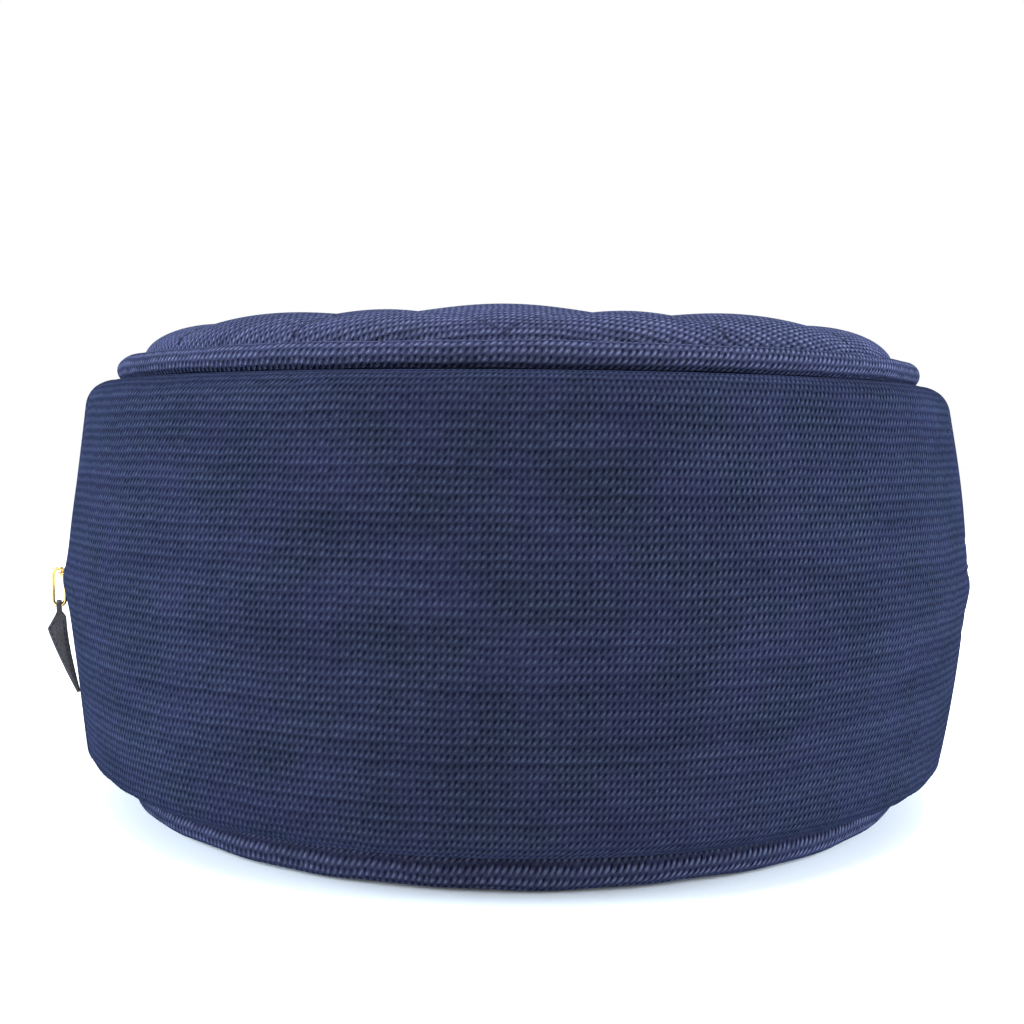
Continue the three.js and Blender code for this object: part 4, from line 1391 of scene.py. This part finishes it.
def stop(name, node):
    solid = points_of(frame["nodes"][node])
    middle = (solid.min(0) + solid.max(0)) / 2
    out = Vector((middle[0], middle[1], 0)).normalized()
    turn = Matrix((out, (-out.y, out.x, 0), (0, 0, 1))).transposed().to_4x4()
    plain = solid @ np.array(turn.to_3x3())
    clip = rounded_block(plain.min(0), plain.max(0), bevel=0.4 * MM)
    select_faces(clip, lambda normal, centre: normal.x > 0.9)
    for rim in STOP_RIMS:
        bpy.ops.mesh.inset(thickness=rim)
    bpy.ops.transform.translate(value=(-STOP_DENT, 0, 0))
    bpy.ops.object.mode_set(mode="OBJECT")
    clip.name = clip.data.name = name
    clip.data.transform(turn)
    smooth(clip, sharp=35)
    finished(clip, "cushion", "gold_metal", GOLD, node)


stop("top_stop_upper", "zip_top_stop_upper")
stop("top_stop_lower", "zip_top_stop_lower")
stop("bottom_stop", "zip_bottom_stop")

# %% [markdown]
# ## Ring
# The ring is a link of round wire. It hangs on the bail by its upper end and carries the leather
# tab in its lower end. A torus with its lower half pulled down has just that shape.

# %% Ring
RING_WIRE = 1.5 * MM
RING_MAJOR = 2.25 * MM
PIN_DROP = BAIL.z - TAB_PIN.z
RING_DROP = PIN_DROP - RING_MAJOR
ring = stretched_ring("ring", (BAIL_OUT, 0, 0), RING_MAJOR, RING_WIRE / 2, (math.pi / 2, 0, 0),
                      lambda at: at[:, 2] < -HAIR, (0, 0, -RING_DROP))
ring.data.transform(TO_SLIDER)
smooth(ring, sharp=60)
finished(ring, "ring", "gold_metal", GOLD, "pull_ring")
print("ring drops", round(RING_DROP / MM, 2), "mm")

# %% [markdown]
# ## Leather tab
# One strap of leather goes round the ring's lowest wire and its two halves are sewn together.
# Below the neck it swells into a kite and tapers to a point that hangs in towards the cushion.
# Each half is a small grid: its rows go down the tab, and each row runs from the inner edge to
# the outer edge. Solidify and Bevel give the cut, rounded edges.

# %% Leather tab
TAB_LENGTH = 32 * MM
NECK = 0.9 * MM
LEAF = 1.35 * MM
NECK_DROP = PIN_DROP + RING_WIRE / 2 + RUNNING + 1.2 * MM
INNER_CORNER = 3 * MM
OUTER_CORNER = 6.5 * MM
INNER_SWELL = 1.7 * MM
OUTER_SWELL = 3.4 * MM
INNER_SWEEP = 5 * MM
OUTER_SWEEP = 10.9 * MM
POINT_WIDTH = 0.8 * MM
TAB_BELLY = 0.25 * MM
LEAF_GAP = 0.06 * MM


def tab_edges(down):
    """Inner and outer edge of the tab, from the neck's line, at a distance below the neck."""
    inner_share = np.clip((down - INNER_CORNER) / (TAB_LENGTH - INNER_CORNER), 0, 1)
    outer_share = np.clip((down - OUTER_CORNER) / (TAB_LENGTH - OUTER_CORNER), 0, 1)
    inner_swell = np.clip(down / INNER_CORNER, 0, 1)
    outer_swell = np.clip(down / OUTER_CORNER, 0, 1)
    inner = -NECK - INNER_SWELL * np.sin(inner_swell * math.pi / 2) - INNER_SWEEP * inner_share ** 1.5
    outer = NECK + OUTER_SWELL * outer_swell ** 1.1 - OUTER_SWEEP * outer_share ** 1.12
    return inner, np.maximum(outer, inner + POINT_WIDTH)


parts = []
for side in (1, -1):
    leaf_rows = steps(0, TAB_LENGTH, 0.8 * MM)
    leaf, across, down = cut_panel("tab_leaf", np.linspace(0, 1, 13), leaf_rows)
    inner, outer = tab_edges(down)
    x = BAIL_OUT + inner + (outer - inner) * across
    belly = TAB_BELLY * np.sin(math.pi * across) * np.sin(math.pi * down / TAB_LENGTH)
    y = side * (LEAF_GAP + LEAF / 2 + belly)
    put_points(leaf, np.stack([x, y, -NECK_DROP - down], 1))
    apply_modifier(leaf, "SOLIDIFY", thickness=LEAF, offset=0)
    close_up(leaf)
    apply_modifier(leaf, "BEVEL", width=0.3 * MM, segments=2, limit_method="ANGLE", angle_limit=0.9)
    parts.append(leaf)

# %% [markdown]
# ## Neck of the tab
# The neck goes up one side of the ring's wire, over it and down the other side, and is pinched
# flat where it meets the two halves. A strip of the same leather is bent along that path: half a
# turn over the wire, then two straight legs that close in softly.

# %% Neck of the tab
NECK_ROOM = 0.35 * MM
NECK_OVERLAP = 2 * MM
neck_bend = RING_WIRE / 2 + NECK_ROOM + LEAF * 0.45
leg = NECK_DROP - PIN_DROP + NECK_OVERLAP
half_arc = math.pi * neck_bend / 2
neck_rows = steps(-leg - half_arc, leg + half_arc, 0.4 * MM)
loop, across, up = cut_panel("tab_neck", np.linspace(-NECK, NECK, 7), neck_rows)
over = np.clip(up / neck_bend, -math.pi / 2, math.pi / 2)
on_arc = np.abs(up) < half_arc
below = np.abs(up) - half_arc
pinch = np.clip(below / leg, 0, 1)
side_reach = neck_bend - (neck_bend - LEAF / 2) * (3 * pinch ** 2 - 2 * pinch ** 3)
y = np.where(on_arc, neck_bend * np.sin(over), np.sign(up) * side_reach)
z = np.where(on_arc, neck_bend * np.cos(over), -np.maximum(below, 0))
put_points(loop, np.stack([BAIL_OUT + across, y, z - PIN_DROP], 1))
apply_modifier(loop, "SOLIDIFY", thickness=LEAF * 0.8, offset=0)
close_up(loop)
apply_modifier(loop, "BEVEL", width=0.2 * MM, segments=2, limit_method="ANGLE", angle_limit=0.9)
parts.append(loop)

tab = join_parts("leather_tab", parts, parts[0])
tab.data.transform(TO_SLIDER)
smooth(tab, sharp=40)
finished(tab, "tab", "black_leather", LEATHER, "pull_tab")

# %% [markdown]
# ## Stitches on the tab
# A fine line of thread runs just inside the tab's edges and holds its two halves together. The
# stitches follow the same edge curves as the leather, on both sides. Near the point, where two
# lines would touch, only the inner one goes on.

# %% Stitches on the tab
TAB_STITCH = 2.1 * MM
EDGE_INSET = 1.0 * MM
TWO_LINES_WIDTH = 3 * MM
THREAD_LIFT = 0.14 * MM
tab_stitch = one_stitch(1.5 * MM, 0.4 * MM)
places = []
for down in np.arange(4.5 * MM, TAB_LENGTH - 5 * MM, TAB_STITCH):
    edges = np.array(tab_edges(np.array([down, down + MM])))
    narrow = edges[1, 0] - edges[0, 0] < TWO_LINES_WIDTH
    for edge, inset in ((0, EDGE_INSET), (1, -EDGE_INSET)):
        if narrow and edge == 1:
            continue
        here = Vector((BAIL_OUT + edges[edge, 0] + inset, 0, -NECK_DROP - down))
        there = Vector((BAIL_OUT + edges[edge, 1] + inset, 0, -NECK_DROP - down - MM))
        for side in (1, -1):
            lift = Vector((0, side * (LEAF + THREAD_LIFT), 0))
            places.append(TO_SLIDER @ frame_at(here + lift, (0, side, 0), there - here))
stitch_line("tab_stitching", tab_stitch, places, "tab", "black_leather")
discard(tab_stitch)

# %% [markdown]
# ## Finishes for the CAD pieces that stay
# Hidden layers that already have the right shape keep their CAD solids and only get a true
# cloth. They could be modelled again, but nothing of them would look different.

# %% Finishes on kept pieces
KEPT = {
    LINING: ["band_interlining", "zip_strip_interlining_upper", "zip_strip_interlining_lower",
             "top_face_backing", "base_face_backing", "top_seam_binding", "base_seam_binding"],
    WADDING: ["inner_wadding_top", "inner_wadding_base", "inner_wadding_band"],
    CALICO: ["inner_case_top", "inner_case_base", "inner_case_band"],
    FOAM: ["foam_core"],
    TAPE: ["zip_tape_upper", "zip_tape_lower"],
}
for finish, names in KEPT.items():
    for name in names:
        node = frame["nodes"][name]
        node.data.materials.clear()
        node.data.materials.append(finish)
print(sum(len(names) for names in KEPT.values()), "CAD pieces finished")

# %% [markdown]
# ## Floor and light
# A plain pale floor and a pale sky, with two large soft lamps at the sides and a weaker one
# above. The side lamps catch the knit at a slant, so the stitches stand out, and they leave the
# middle of the band the darkest part.

# %% Floor, sky and lamps
clear_selection()
bpy.ops.mesh.primitive_circle_add(vertices=96, radius=9, fill_type="NGON", location=(0, 0, 0))
floor = bpy.context.object
floor.name = "floor"
floor_finish = Finish("pale_floor", roughness=0.9)
floor_finish.set("Base Color", colour(255, 255, 255))
floor.data.materials.append(floor_finish.material)
print("floor", [round(size, 1) for size in floor.dimensions], "m")

sky = bpy.data.worlds.new("pale_sky")
sky.use_nodes = True
sky.node_tree.nodes["Background"].inputs["Color"].default_value = (1, 1, 1, 1)
sky.node_tree.nodes["Background"].inputs["Strength"].default_value = 1.0
bpy.context.scene.world = sky


def lamp(name, place, size, power, tint=(1, 1, 1)):
    """A square soft lamp that faces the middle of the cushion."""
    data = bpy.data.lights.new(name, "AREA")
    data.shape = "SQUARE"
    data.size = size
    data.energy = power
    data.color = tint
    holder = bpy.data.objects.new(name, data)
    aim = (Vector((0, 0, MID)) - Vector(place)).to_track_quat("-Z", "Y")
    holder.matrix_world = Matrix.Translation(place) @ aim.to_matrix().to_4x4()
    bpy.context.scene.collection.objects.link(holder)


DAYLIGHT = (0.72, 0.86, 1.0)
lamp("left_lamp", (-1.5, -0.35, 0.5), 0.9, 58, DAYLIGHT)
lamp("right_lamp", (1.5, -0.35, 0.5), 0.9, 52, DAYLIGHT)
lamp("top_lamp", (0, -0.2, 1.6), 1.0, 26)
